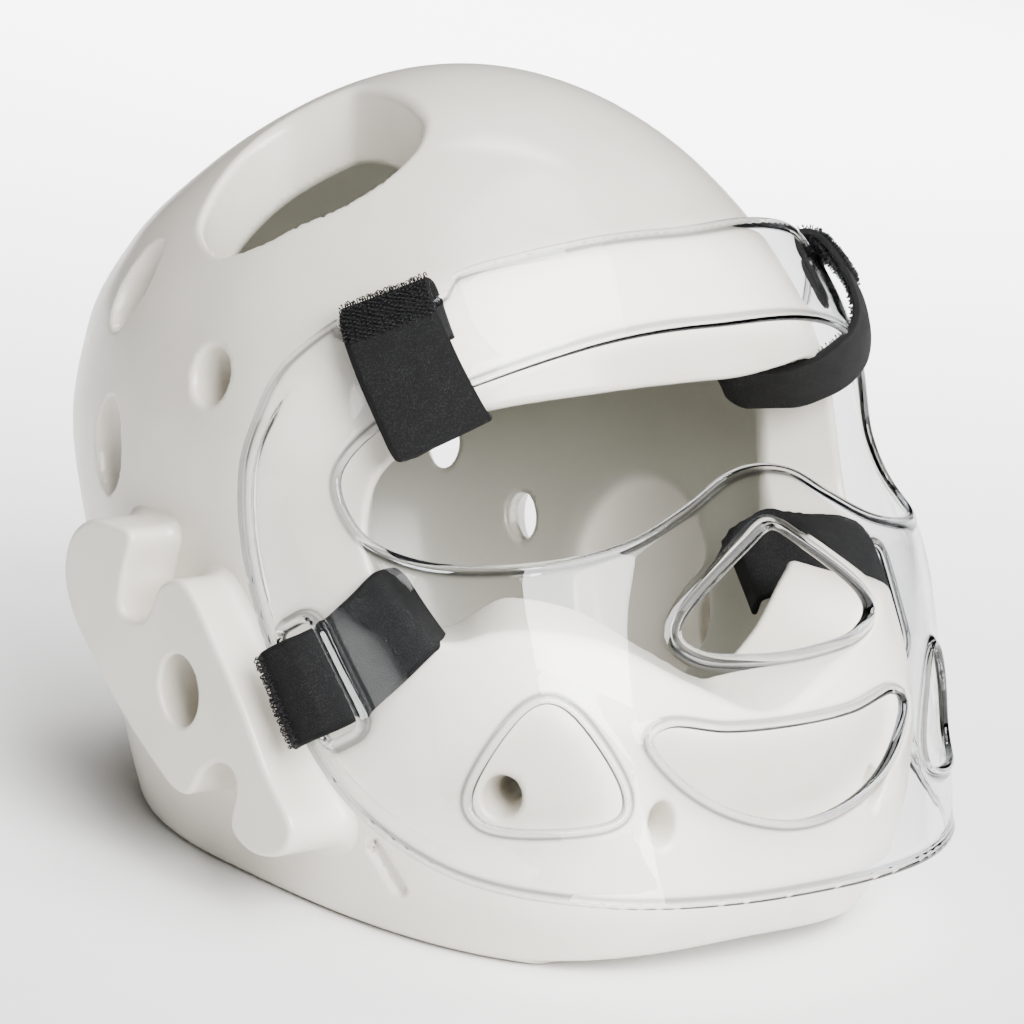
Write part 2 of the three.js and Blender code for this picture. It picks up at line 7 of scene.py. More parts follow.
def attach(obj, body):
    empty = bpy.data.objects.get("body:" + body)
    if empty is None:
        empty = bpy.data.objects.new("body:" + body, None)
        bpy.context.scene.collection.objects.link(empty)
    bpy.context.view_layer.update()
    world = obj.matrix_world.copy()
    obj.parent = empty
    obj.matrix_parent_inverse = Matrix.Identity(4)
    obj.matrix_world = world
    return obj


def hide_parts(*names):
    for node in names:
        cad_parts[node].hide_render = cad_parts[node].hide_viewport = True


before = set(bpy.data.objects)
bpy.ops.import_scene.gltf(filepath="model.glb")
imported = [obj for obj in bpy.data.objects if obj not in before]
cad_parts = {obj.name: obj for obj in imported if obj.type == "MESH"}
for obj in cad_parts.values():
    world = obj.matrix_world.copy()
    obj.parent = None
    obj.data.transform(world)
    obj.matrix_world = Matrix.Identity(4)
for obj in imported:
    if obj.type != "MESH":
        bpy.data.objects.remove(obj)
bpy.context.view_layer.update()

# The shapes are drawn as worn, in millimetres, facing -Y, and then leaned back on the bottom rim
rest = dict(slope=math.radians(9.5), forward=-0.4, drop=15.015, pivotY=-85.0, pivotZ=1.0)
sides = (-1.0, 1.0)  # wearer's right and left, as the sign of x


# Worn millimetres turned about X by the rim slope and set on the floor, in metres
def toRest(points):
    c, s = math.cos(rest["slope"]), math.sin(rest["slope"])
    x, y, z = points[..., 0], points[..., 1], points[..., 2]
    placed = np.stack([x, y * c + z * s + rest["forward"], z * c - y * s - rest["drop"]], -1)
    return placed * 0.001


# A worn direction turned the same way
def wornDirection(vectors):
    return (toRest(np.asarray(vectors, float)) - toRest(np.zeros(3))) * 1000.0


# Vectors divided by their lengths
def unitVector(vectors):
    return vectors / np.linalg.norm(vectors, axis=-1, keepdims=True)


# Smooth step from 0 at the first value to 1 at the second: 3t^2 - 2t^3
def smoothStep(first, second, at):
    t = np.clip((at - first) / (second - first), 0.0, 1.0)
    return t * t * (3.0 - 2.0 * t)


# Monotone cubic through the values of a column, with harmonic means as tangents
def levelCurve(levels, values):
    levels, values = np.asarray(levels, float), np.asarray(values, float)
    slope = np.diff(values) / np.diff(levels)
    before = np.concatenate([slope[:1], slope])
    after = np.concatenate([slope, slope[-1:]])
    total = np.where(before + after == 0.0, 1.0, before + after)
    tangent = np.where(before * after <= 0.0, 0.0, 2.0 * before * after / total)

    def curve(at):
        at = np.clip(at, levels[0], levels[-1])
        k = np.clip(np.searchsorted(levels, at, side="right") - 1, 0, len(levels) - 2)
        span = levels[k + 1] - levels[k]
        t = (at - levels[k]) / span
        s = 1.0 - t
        ends = values[k] * (1.0 + 2.0 * t) * s * s + values[k + 1] * t * t * (1.0 + 2.0 * s)
        return ends + (tangent[k] * t * s * s - tangent[k + 1] * t * t * s) * span

    return curve


# Closed centripetal Catmull-Rom curve through the corners, with the given points per corner
def smoothOutline(corners, steps=10):
    p = np.asarray(corners, float)
    a, b, c, d = np.roll(p, 1, 0), p, np.roll(p, -1, 0), np.roll(p, -2, 0)
    knot = lambda m, n: np.sqrt(np.linalg.norm(n - m, axis=1))[:, None] + 1e-9
    t1 = knot(a, b)
    t2 = t1 + knot(b, c)
    t3 = t2 + knot(c, d)
    share = np.linspace(0.0, 1.0, steps, endpoint=False)[:, None, None]
    t = t1 + share * (t2 - t1)
    m1 = (t1 - t) / t1 * a + t / t1 * b
    m2 = (t2 - t) / (t2 - t1) * b + (t - t1) / (t2 - t1) * c
    m3 = (t3 - t) / (t3 - t2) * c + (t - t2) / (t3 - t2) * d
    n1 = (t2 - t) / t2 * m1 + t / t2 * m2
    n2 = (t3 - t) / (t3 - t1) * m2 + (t - t1) / (t3 - t1) * m3
    curve = (t2 - t) / (t2 - t1) * n1 + (t - t1) / (t2 - t1) * n2
    return curve.transpose(1, 0, 2).reshape(-1, 2)


# Both halves of an outline that is given from its middle line on the wearer's left
def wholeOutline(half):
    half = np.asarray(half, float)
    other = half[1:-1][::-1] * (-1.0, 1.0)
    return np.concatenate([half, other])


# Signed distance to a closed outline, negative inside: nearest edge, signed by crossings
def outlineDistance(u, v, outline):
    nearest = np.full(np.shape(u), 1e9)
    crossings = np.zeros(np.shape(u), bool)
    for (au, av), (bu, bv) in zip(outline, np.roll(outline, -1, 0)):
        eu, ev = bu - au, bv - av
        length = eu * eu + ev * ev
        if length < 1e-12:
            continue
        t = np.clip(((u - au) * eu + (v - av) * ev) / length, 0.0, 1.0)
        nearest = np.minimum(nearest, (u - au - t * eu) ** 2 + (v - av - t * ev) ** 2)
        if av != bv:
            crossings ^= ((av > v) != (bv > v)) & (u < eu * (v - av) / ev + au)
    return np.where(crossings, -1.0, 1.0) * np.sqrt(nearest)


# A table of distances to an outline on a square grid and its bilinear reading, held at the edges
class FlatTable:
    def __init__(self, low, high, step, outline):
        self.low, self.step = low, step
        u = np.arange(low[0], high[0] + step, step)
        v = np.arange(low[1], high[1] + step, step)
        self.values = outlineDistance(*np.meshgrid(u, v, indexing="ij"), outline)

    # Gaussian mean of neighbouring values, which rounds the corners of an outline
    def soften(self, radius):
        taps = np.arange(-int(3 * radius / self.step), int(3 * radius / self.step) + 1)
        weight = np.exp(-0.5 * (taps * self.step / radius) ** 2)
        weight /= weight.sum()
        for axis in (0, 1):
            margin = [(0, 0), (0, 0)]
            margin[axis] = (len(taps) // 2,) * 2
            padded = np.pad(self.values, margin, "edge")
            size = self.values.shape[axis]
            parts = [w * np.take(padded, range(i, i + size), axis) for i, w in enumerate(weight)]
            self.values = sum(parts)
        return self

    def read(self, u, v):
        a = np.clip((u - self.low[0]) / self.step, 0.0, self.values.shape[0] - 1.001)
        b = np.clip((v - self.low[1]) / self.step, 0.0, self.values.shape[1] - 1.001)
        i, j = a.astype(int), b.astype(int)
        s, t = a - i, b - j
        low = self.values[i, j] * (1.0 - s) + self.values[i + 1, j] * s
        high = self.values[i, j + 1] * (1.0 - s) + self.values[i + 1, j + 1] * s
        return low * (1.0 - t) + high * t


# Common part of two fields: the larger of both, with an arc of the radius where they meet
def meet(a, b, radius):
    corner = np.hypot(np.maximum(a + radius, 0.0), np.maximum(b + radius, 0.0))
    return np.minimum(-radius, np.maximum(a, b)) + corner


# Joined form of two fields with a fillet: the common part of their outsides, turned back
def join(a, b, radius):
    return -meet(-a, -b, radius)


# Distance to a round form given by levels: (|x|^p + (|y| r)^p)^(2/p) - half^2, over its slope
class RoundForm:
    def __init__(self, rows, backSquare):
        rows = np.asarray(rows, float)
        z = rows[:, 0]
        self.half, self.front, self.back = (levelCurve(z, rows[:, k] ** 2) for k in (1, 2, 3))
        self.square, self.backSquare = levelCurve(z, rows[:, 4]), backSquare
        self.top = z[-1]
        self.fall = -(rows[-2, 1] ** 2) / (z[-1] - z[-2])

    def parts(self, x, y, z):
        level = np.minimum(z, self.top - 0.5)
        half = self.half(level)
        reach = np.where(y < 0.0, self.front(level), self.back(level))
        power = np.where(y < 0.0, self.square(level), self.backSquare)
        stretch = np.sqrt(half / reach)
        across, along = np.abs(x), np.abs(y) * stretch
        mixed = across ** power + along ** power + 1e-9
        level = self.half(np.minimum(z, self.top)) + self.fall * np.maximum(z - self.top, 0.0)
        return across, along, stretch, power, mixed, mixed ** (2.0 / power) - level

    def distance(self, x, y, z):
        across, along, stretch, power, mixed, value = self.parts(x, y, z)
        steep = 2.0 * mixed ** (2.0 / power - 1.0)
        slopeX = steep * across ** (power - 1.0)
        slopeY = steep * along ** (power - 1.0) * stretch
        slopeZ = self.parts(x, y, z + 0.5)[-1] - self.parts(x, y, z - 0.5)[-1]
        return value / np.sqrt(slopeX ** 2 + slopeY ** 2 + slopeZ ** 2 + 1e-6)

    # Radius of the level's outline in a direction (radians from the front)
    def radius(self, turn, z):
        facing = np.cos(turn) >= 0.0
        reach = np.sqrt(np.where(facing, self.front(z), self.back(z)))
        power = np.where(facing, self.square(z), self.backSquare)
        sideways = (np.abs(np.sin(turn)) / np.sqrt(self.half(z))) ** power
        return (sideways + (np.abs(np.cos(turn)) / reach) ** power) ** (-1.0 / power)


# Gradient of a field by central differences
def gradient(field, p, step=0.4):
    parts = [field(*(p + move).T) - field(*(p - move).T) for move in step * np.eye(3)]
    return np.stack(parts, -1) / (2.0 * step)


# Surface net of a field: one point for each grid cell that the surface crosses, at the mean of the crossings
# of the cell's edges, then spread evenly and moved on to the surface in turns
def netSurface(field, low, high, step, rounds=4):
    axes = [np.arange(a, b + step, step) for a, b in zip(low, high)]
    values = field(*np.meshgrid(*axes, indexing="ij"))
    inside = values < 0.0
    n = np.array(values.shape)
    a, b, c = n - 1
    total = sum(inside[i:a + i, j:b + j, k:c + k].astype(np.int8) for i, j, k in np.ndindex(2, 2, 2))
    mixed = (total > 0) & (total < 8)
    cells = np.argwhere(mixed)
    index = np.full(mixed.shape, -1)
    index[mixed] = np.arange(len(cells))
    place, count = np.zeros((len(cells), 3)), np.zeros((len(cells), 1))
    unit = np.eye(3, dtype=int)
    for a in range(3):
        for s, t in ((0, 0), (1, 0), (0, 1), (1, 1)):
            first = cells + s * unit[(a + 1) % 3] + t * unit[(a + 2) % 3]
            v0, v1 = values[tuple(first.T)], values[tuple((first + unit[a]).T)]
            crossed = (v0 < 0.0) != (v1 < 0.0)
            share = np.where(crossed, v0 / np.where(crossed, v0 - v1, 1.0), 0.0)
            place += crossed[:, None] * (first + share[:, None] * unit[a])
            count += crossed[:, None]
    faces = []
    for a in range(3):
        b, c = (a + 1) % 3, (a + 2) % 3
        lower, upper = [slice(None)] * 3, [slice(None)] * 3
        lower[a], upper[a] = slice(0, -1), slice(1, None)
        changed = inside[tuple(lower)] != inside[tuple(upper)]
        edge = np.argwhere(changed)
        kept = (edge[:, b] > 0) & (edge[:, c] > 0) & (edge[:, b] < n[b] - 1) & (edge[:, c] < n[c] - 1)
        edge = edge[kept]
        ring = [edge - s * unit[b] - t * unit[c] for s, t in ((1, 1), (0, 1), (0, 0), (1, 0))]
        quad = np.stack([index[tuple(cell.T)] for cell in ring], 1)
        outward = inside[tuple(edge.T)]
        faces.append(np.where(outward[:, None], quad, quad[:, ::-1]))
    points, faces = np.asarray(low) + place / count * step, np.concatenate(faces)
    for _ in range(rounds):
        points = ontoSurface(field, evenPoints(points, faces), step)
    return ontoSurface(field, points, step), faces


# Directions out of a field's surface at its points
def fieldNormals(field, points):
    return wornDirection(unitVector(gradient(field, points, 0.3)))


# Points moved along the gradient towards the surface
def ontoSurface(field, points, step):
    slope = gradient(field, points)
    size = np.maximum((slope ** 2).sum(1), 0.2)
    move = -(field(*points.T) / size)[:, None] * slope
    length = np.linalg.norm(move, axis=1, keepdims=True)
    return points + move * np.minimum(1.0, 0.5 * step / np.maximum(length, 1e-9))


# Points moved half way to the mean of their neighbours
def evenPoints(points, faces):
    a, b = faces.ravel(), np.roll(faces, -1, 1).ravel()
    both, other = np.concatenate([a, b]), np.concatenate([b, a])
    count = np.bincount(both, minlength=len(points))
    mean = np.stack([np.bincount(both, points[other, k], len(points)) for k in range(3)], 1) / count[:, None]
    return points + 0.5 * (mean - points)


# Quads of a tube: every ring of points joined to the next ring
def tubeQuads(rings, count):
    ids = np.arange(rings * count).reshape(rings, count)
    wrapped = np.roll(ids, -1, 1)
    return np.stack([ids[:-1], wrapped[:-1], wrapped[1:], ids[1:]], -1).reshape(-1, 4)


# A new object in the scene
def addObject(name, data):
    made = bpy.data.objects.new(name, data)
    bpy.context.collection.objects.link(made)
    return made


# A mesh object from points in metres and arrays of faces, with uv, named marks and normals for each point
def meshPiece(name, points, faceSets, material, uv=None, marks={}, normals=None):
    mesh = bpy.data.meshes.new(name)
    corners = np.concatenate([f.ravel() for f in faceSets]).astype(np.int32)
    sizes = np.concatenate([np.full(len(f), f.shape[1]) for f in faceSets])
    starts = np.concatenate([[0], np.cumsum(sizes)[:-1]]).astype(np.int32)
    mesh.vertices.add(len(points))
    mesh.vertices.foreach_set("co", np.asarray(points, np.float32).ravel())
    mesh.loops.add(len(corners))
    mesh.loops.foreach_set("vertex_index", corners)
    mesh.polygons.add(len(sizes))
    mesh.polygons.foreach_set("loop_start", starts)
    mesh.polygons.foreach_set("use_smooth", np.ones(len(sizes), bool))
    mesh.update(calc_edges=True)
    if uv is not None:
        layer = mesh.uv_layers.new(name="UVMap")
        layer.uv.foreach_set("vector", np.asarray(uv, np.float32)[corners].ravel())
    for mark, values in marks.items():
        mesh.attributes.new(mark, "FLOAT", "POINT").data.foreach_set("value", np.asarray(values, np.float32))
    mesh.validate()
    if normals is not None:
        mesh.normals_split_custom_set_from_vertices(normals.tolist())
    mesh.materials.append(material)
    return addObject(name, mesh)


# A piece on the root body that takes the place of a node, in a material slot
def standFor(node, slot, name, points, faceSets, **more):
    piece = meshPiece(name, points, faceSets, finishes[slot], **more)
    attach(piece, "root")
    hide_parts(node)
    print(name, len(piece.data.polygons), "faces")
    return piece


# A node socket with arithmetic
class Socket:
    def __init__(self, tree, socket):
        self.tree, self.socket = tree, socket

    def math(self, operation, *others):
        inputs = dict(enumerate((self, *others)))
        return self.tree.node("ShaderNodeMath", {"operation": operation}, inputs)

    def __sub__(self, other):
        return self.math("SUBTRACT", other)

    def __mul__(self, other):
        return self.math("MULTIPLY", other)

    def __rsub__(self, other):
        return self.tree.node("ShaderNodeMath", {"operation": "SUBTRACT"}, {0: other, 1: self})

    __rmul__ = __mul__

    def ramp(self, low, high, first=0.0, last=1.0):
        values = {0: self, 1: low, 2: high, 3: first, 4: last}
        return self.tree.node("ShaderNodeMapRange", {"interpolation_type": "SMOOTHSTEP"}, values)


# A material with short forms for the nodes that are used
class Material:
    def __init__(self, name):
        self.material = bpy.data.materials.new(name)
        self.material.use_nodes = True
        self.tree = self.material.node_tree
        self.shader = self.tree.nodes["Principled BSDF"]
        self.output = self.tree.nodes["Material Output"]

    # Any node: its settings are set first, then its inputs by number or name
    def node(self, kind, settings, inputs, out=0):
        made = self.tree.nodes.new(kind)
        for key, value in settings.items():
            setattr(made, key, value)
        for key, value in inputs.items():
            self.feed(made.inputs[key], value)
        return Socket(self, made.outputs[out])

    def feed(self, target, value):
        if isinstance(value, Socket):
            self.tree.links.new(value.socket, target)
        else:
            target.default_value = value

    def set(self, **values):
        for key, value in values.items():
            self.feed(self.shader.inputs[key.replace("_", " ")], value)

    def place(self, kind="Object"):
        return self.node("ShaderNodeTexCoord", {}, {}, kind)

    def mark(self, name):
        return self.node("ShaderNodeAttribute", {"attribute_name": name}, {}, "Fac")

    def split(self, vector, axis):
        return self.node("ShaderNodeSeparateXYZ", {}, {0: vector}, axis)

    def noise(self, place, scale, detail=2.0, roughness=0.5):
        return self.node("ShaderNodeTexNoise", {}, {"Vector": place, "Scale": scale, "Detail": detail,
                                                    "Roughness": roughness})

    def blend(self, share, first, second):
        settings = {"data_type": "RGBA"}
        return self.node("ShaderNodeMix", settings, {0: share, 6: first, 7: second}, 2)

    def bump(self, height, distance, strength, base=None):
        inputs = {"Height": height, "Distance": distance, "Strength": strength}
        if base is not None:
            inputs["Normal"] = base
        return self.node("ShaderNodeBump", {}, inputs)


# Dipped foam: off-white satin skin, faintly mottled and grained, with soft waves, and painted shade: a
# darker colour on the wall of the head space
def foamMaterial():
    m = Material("dippedFoam")
    place = m.place()
    mottle = m.noise(place, 28.0, 3.0)
    grain = m.noise(place, 900.0, 2.0)
    wave = m.noise(place, 60.0, 1.0)
    pale, worn = (0.67, 0.634, 0.557, 1.0), (0.62, 0.585, 0.51, 1.0)
    # painted shade: the head space wall is the same foam, darkened here for the shade that falls inside
    paintedShade = (0.35, 0.34, 0.285, 1.0)
    m.set(Base_Color=m.blend(m.mark("paintedShade"), m.blend(mottle.ramp(0.35, 0.7), pale, worn), paintedShade))
    m.set(Roughness=mottle.ramp(0.3, 0.7, 0.36, 0.46), Coat_Weight=0.5, Coat_Roughness=0.14)
    soft = m.bump(wave, 0.0012, 0.12)
    m.set(Normal=m.bump(grain, 0.00012, 0.25, soft))
    return m.material


# Clear sheet: glass that lets lamps through, with faint smears, and painted shade: dark lines in its colour
# along its edges and a little inside them, where its refraction shows dark lines
def clearMaterial():
    m = Material("clearSheet")
    place = m.place()
    smear = m.noise(place, 45.0, 3.0)
    # painted shade: the edge mark darkens the sheet's colour along its edges
    m.set(Base_Color=m.blend(m.mark("paintedEdgeShade"), (0.985, 0.99, 0.995, 1.0), (0.2, 0.21, 0.23, 1.0)))
    m.set(Transmission_Weight=1.0, IOR=1.5)
    m.set(Roughness=smear.ramp(0.4, 0.8, 0.0, 0.03))
    shadow = m.node("ShaderNodeLightPath", {}, {}, "Is Shadow Ray")
    clear = m.node("ShaderNodeBsdfTransparent", {}, {"Color": (0.96, 0.965, 0.97, 1.0)})
    shader = Socket(m, m.shader.outputs[0])
    mixed = m.node("ShaderNodeMixShader", {}, {0: shadow, 1: shader, 2: clear})
    m.feed(m.output.inputs["Surface"], mixed)
    return m.material


# Hook-and-loop webbing: black pile with grey flecks, smooth selvedges, glossy hooks given a lighter colour
# as painted sheen
def webbingMaterial():
    m = Material("loopWebbing")
    place = m.place()
    fleck = m.noise(place, 2600.0, 2.0, 0.65)
    cloud = m.noise(place, 220.0, 2.0)
    hook = m.mark("hook")
    selvedge = m.split(m.place("UV"), "Y").math("ABSOLUTE").ramp(0.0126, 0.0134)
    pile = fleck.ramp(0.48, 0.72) * cloud.ramp(0.3, 0.7, 0.5, 1.0) * (1.0 - selvedge)
    black, grey = (0.0016, 0.0016, 0.0017, 1.0), (0.021, 0.022, 0.023, 1.0)
    # painted sheen: the hooks are the same black nylon, made lighter here for their bright highlights
    paintedSheen = (0.012, 0.012, 0.013, 1.0)
    m.set(Base_Color=m.blend(hook, m.blend(pile, black, grey), paintedSheen))
    m.set(Roughness=hook.ramp(0.0, 1.0, 0.85, 0.38), Specular_IOR_Level=0.22)
    m.set(Normal=m.bump(fleck * (1.0 - selvedge), 0.0005, 0.7))
    return m.material


finishes = dict(foam=foamMaterial(), clear_sheet=clearMaterial(), webbing=webbingMaterial())

shell = dict(
    backSquare=2.2,
    outer=[
        (-12, 79, 117, 78, 2.6), (2, 88, 129, 84, 2.8), (18, 94, 136, 89, 3.0), (40, 99, 139, 96, 3.1),
        (65, 102, 138, 105, 3.0), (100, 105.5, 128, 116, 2.6), (138, 106.5, 115, 127, 2.3),
        (168.5, 101.5, 105, 121.5, 2.15), (193.5, 90, 92, 105.5, 2.05), (215.5, 71, 75, 79.5, 2),
        (233.5, 47, 51, 50, 2), (247, 0, 0, 0, 2),
    ],
    inner=[
        (-40, 64, 90, 56, 2.4), (2, 68, 99, 64, 2.4), (40, 75, 106, 75, 2.4), (65, 79, 107, 84, 2.4),
        (100, 83, 103, 94, 2.4), (138, 84.5, 93, 105, 2.3), (162, 80.5, 84, 103, 2.15),
        (182, 71.5, 74, 86, 2.05), (200, 56, 60, 64.5, 2), (214, 37, 41, 41, 2), (225, 0, 0, 0, 2),
    ],
    # face opening: turn (degrees) about an upright axis and height; the chin guard's top rises inwards
    openingAxis=35.0, openingScale=150.0, openingRound=3.0, rimRound=4.0,
    opening=[
        (0, 160), (15, 158.5), (28.5, 154), (33.5, 148.5), (38, 142), (40.5, 135), (41.5, 126),
        (41.5, 117.7), (40.5, 109), (38.2, 100), (35.3, 93), (32.2, 92), (29, 94.5), (25, 95), (18, 91.5),
        (9, 78), (0, 68),
    ],
    # the last pair here fades out the painted shade of the head space wall by distance from it
    openingTable=((-170, 30), (170, 200), 1.0), spaceRound=3.0, paintedShadeFade=(0.5, 3.0),
    chinRise=0.22, chinTop=(100.0, 114.0), chinTurn=(0.42, 0.54), chinDeep=40.0,
    # the left brow edge hangs a little higher: rise, and its fade by turn (radians) and height
    leftBrow=6.0, browTurn=(0.05, 0.5), browTop=(125.0, 150.0),
    archHalf=66.0, archRise=7.0, archFrom=-130.0, archTo=-20.0,
    # plan of the upright hole at the side of the crown: distance from the middle, and y
    crown=dict(
        outline=[
            (88, 3), (84.5, -12), (78, -21), (70, -30), (58, -36), (47.5, -35.5), (40, -29.5), (36, -20),
            (33, -6), (32, 6), (32.4, 11.5), (33.6, 14), (39.5, 20.5), (46, 26), (54, 29), (63, 29),
            (73, 26), (82, 20),
        ],
        table=((5, -75), (125, 70), 0.5), centre=(60, -4, 205), reach=60.0, floor=176.0, round=3.0,
    ),
    # place, long, short, throat, lean of the long axis from level, depth, rounding of the mouth
    vents=[
        ((103, -10, 161), 18, 16, 0.6, 90, 42, 1.6), ((89, 43, 183), 31, 19, 0.5, 102, 9, 1.0),
        ((103, 42, 136), 29, 19, 0.5, 94, 9, 1.0), ((69, 88, 116), 30, 18, 0.55, 90, 42, 1.8),
        ((88, 64, 95), 22, 13, 0.7, 85, 42, 1.8), ((79, -111, 50), 13, 12, 0.6, 90, 42, 1.6),
        ((41, -135, 41), 14, 9, 0.45, 90, 42, 1.6),
    ],
    mouthDepth=13.0, mouthMost=3.0, ventOut=34.0, ventReach=44.0,
    pocket=dict(centre=(83, 8, 78), size=(9, 27, 33), reach=50.0, round=8.0),
    earHole=dict(centre=(90.0, -17.0, 72.0), long=10.5, short=8.5, share=0.8, reach=40.0, round=2.0),
    groove=dict(
        first=(92.8, -72, 31.3), last=(88.3, -77.5, 19.7), radius=2.2,
        centre=(90.5, -75.0, 25.5), reach=20.0, round=1.4,
    ),
    low=(-110, -146, -6), high=(110, 134, 252), step=1.6,
)
outerForm = RoundForm(shell["outer"], shell["backSquare"])
innerForm = RoundForm(shell["inner"], shell["backSquare"])


# Tables of the face opening (arc length round its axis and height) and of the crown's upright hole
openingCorners = wholeOutline(shell["opening"]) * (math.radians(1.0) * shell["openingScale"], 1.0)
opening = FlatTable(*shell["openingTable"], smoothOutline(openingCorners))
crown = FlatTable(*shell["crown"]["table"], smoothOutline(shell["crown"]["outline"]))


# Distance to a vent on the wearer's left: a cone, wide at the mouth and narrow at the throat, or a bowl
# where it is shallow; its axes are out of the foam, along the leaning long side and across it
def ventHole(vent):
    (px, py, pz), long, short, throat, lean, deep, _ = vent
    turn, lean = math.atan2(px, -py), math.radians(lean)
    radius = float(outerForm.radius(np.array(turn), np.array(float(pz))))
    place = np.array([radius * math.sin(turn), -radius * math.cos(turn), pz])
    out = unitVector(gradient(outerForm.distance, place[None])[0])
    level = unitVector(np.array([-out[1], out[0], 0.0]))
    longAxis = level * math.cos(lean) + np.cross(out, level) * math.sin(lean)
    shortAxis = np.cross(out, longAxis)

    def distance(x, y, z):
        q = np.stack([x, y, z], -1) - place
        along, across, depth = q @ longAxis, q @ shortAxis, -(q @ out)
        if deep < shell["mouthDepth"]:
            return ellipsoidDistance(along, across, depth, (0, 0, 0), (0.5 * long, 0.5 * short, deep))
        size = np.clip(1.0 - (1.0 - throat) * depth / shell["mouthDepth"], throat, shell["mouthMost"])
        reach = np.hypot(along / (0.5 * long), across / (0.5 * short))
        wall = 0.5 * math.sqrt(long * short) * (reach - size)
        return np.maximum(wall, np.maximum(depth - deep, -depth - shell["ventOut"]))

    return distance


# Distance to an ellipsoid, near its surface
def ellipsoidDistance(x, y, z, centre, size):
    q = (np.stack([x, y, z], -1) - np.asarray(centre, float)) / np.asarray(size, float)
    scaled = np.linalg.norm(q, axis=-1) + 1e-9
    return scaled * (scaled - 1.0) / (np.linalg.norm(q / np.asarray(size, float), axis=-1) + 1e-9)


# Distance to a straight rod with round ends
def rodDistance(x, y, z, first, last, radius):
    a, b = np.asarray(first, float), np.asarray(last, float)
    q = np.stack([x, y, z], -1) - a
    t = np.clip(q @ (b - a) / ((b - a) @ (b - a)), 0.0, 1.0)
    return np.linalg.norm(q - t[..., None] * (b - a), axis=-1) - radius


# Distance to the elliptical ear hole, at a share of its size
def earHoleDistance(y, z, share):
    e = shell["earHole"]
    reach = np.hypot((y - e["centre"][1]) / e["short"], (z - e["centre"][2]) / e["long"])
    return math.sqrt(e["long"] * e["short"]) * (reach - share)


# Everything under the rim plane, and the arch under the chin
def underRim(x, y, z):
    c, s = math.cos(rest["slope"]), math.sin(rest["slope"])
    dy, dz = y - rest["pivotY"], z - rest["pivotZ"]
    along, height = dy * c + dz * s, dz * c - dy * s
    radius = (shell["archHalf"] ** 2 + shell["archRise"] ** 2) / (2.0 * shell["archRise"])
    arch = np.hypot(x, height - shell["archRise"] + radius) - radius
    arch = np.maximum(arch, np.maximum(along - shell["archTo"], shell["archFrom"] - along))
    return np.minimum(height, arch)


# The holes of the wearer's left in their order: centre, reach, distance to the hole, rounding of its edge
def shellHoles():
    c, p, e, g = (shell[name] for name in ("crown", "pocket", "earHole", "groove"))
    upright = lambda x, y, z: np.maximum(crown.read(x, y), c["floor"] - z)
    pocket = lambda x, y, z: ellipsoidDistance(x, y, z, p["centre"], p["size"])
    through = lambda x, y, z: earHoleDistance(y, z, e["share"])
    groove = lambda x, y, z: rodDistance(x, y, z, g["first"], g["last"], g["radius"])
    vents = [(vent[0], shell["ventReach"], ventHole(vent), vent[-1]) for vent in shell["vents"]]
    others = [(d["centre"], d["reach"], hole, d["round"])
              for d, hole in ((c, upright), (p, pocket), (e, through), (g, groove))]
    return others[:1] + vents + others[1:]


holes = shellHoles()


# Cuts a hole out of the field, worked out only where the hole is near
def cutNear(value, x, y, z, centre, reach, hole, radius):
    near = (x - centre[0]) ** 2 + (y - centre[1]) ** 2 + (z - centre[2]) ** 2 < reach * reach
    value[near] = meet(value[near], -hole(x[near], y[near], z[near]), radius)


# The foam: outer form without head space, face opening, vents, ear pockets and what is under the rim
def foamField(x, y, z):
    outer = outerForm.distance(x, y, z)
    value = meet(outer, -innerForm.distance(x, y, z), shell["spaceRound"])
    turn = np.arctan2(x, -(y - shell["openingAxis"]))
    browRise = shell["leftBrow"] * smoothStep(*shell["browTurn"], turn) * smoothStep(*shell["browTop"], z)
    cut = opening.read(turn * shell["openingScale"], z - browRise)
    low = (1.0 - smoothStep(*shell["chinTop"], z)) * (1.0 - smoothStep(*shell["chinTurn"], np.abs(turn)))
    cut = cut + shell["chinRise"] * low * np.clip(-outer, 0.0, shell["chinDeep"])
    value = meet(value, -cut, shell["openingRound"])
    for side in sides:
        for hole in holes:
            cutNear(value, side * x, y, z, *hole)
    return meet(value, -underRim(x, y, z), shell["rimRound"])


# The shell from its field, with the wall of the head space marked for painted shade
def buildShell():
    points, faces = netSurface(foamField, shell["low"], shell["high"], shell["step"])
    normals = fieldNormals(foamField, points)
    # painted shade mark: full on the wall of the head space, fading out away from it
    marks = {"paintedShade": 1.0 - smoothStep(*shell["paintedShadeFade"], np.abs(innerForm.distance(*points.T)))}
    placed = toRest(points)
    piece = standFor("foam_shell", "foam", "foamShell", placed, [faces], marks=marks, normals=normals)


ear = dict(
    outline=[
        (34.5, 98), (33.8, 106), (30, 113), (22.5, 117.5), (11, 117.5), (2.5, 115), (6.5, 103), (8, 92),
        (-2, 91), (-10, 102), (-20, 104), (-35, 86), (-45, 71), (-55, 53), (-65, 38), (-61, 31), (-47, 29),
        (-38, 35), (-41, 47), (-39, 52), (-33, 53), (-27, 50), (-20, 42), (-13, 42.5), (-3, 50), (11, 63),
        (22, 76), (31, 88),
    ],
    table=((-90, 0), (60, 140), 0.5), soften=0.9,
    # outer face: its x at a place (y, z), and how fast it comes in from there
    face=124.0, facePlace=(33.0, 115.0), faceBack=0.045, faceDown=0.03,
    edge=1.8, fillet=4.0, sink=1.6, skirt=8.0, clear=0.3, holeRound=1.3,
    low=(84, -80, 10), high=(128, 48, 132), step=1.1,
)
earTable = FlatTable(*ear["table"], smoothOutline(ear["outline"], 6)).soften(ear["soften"])


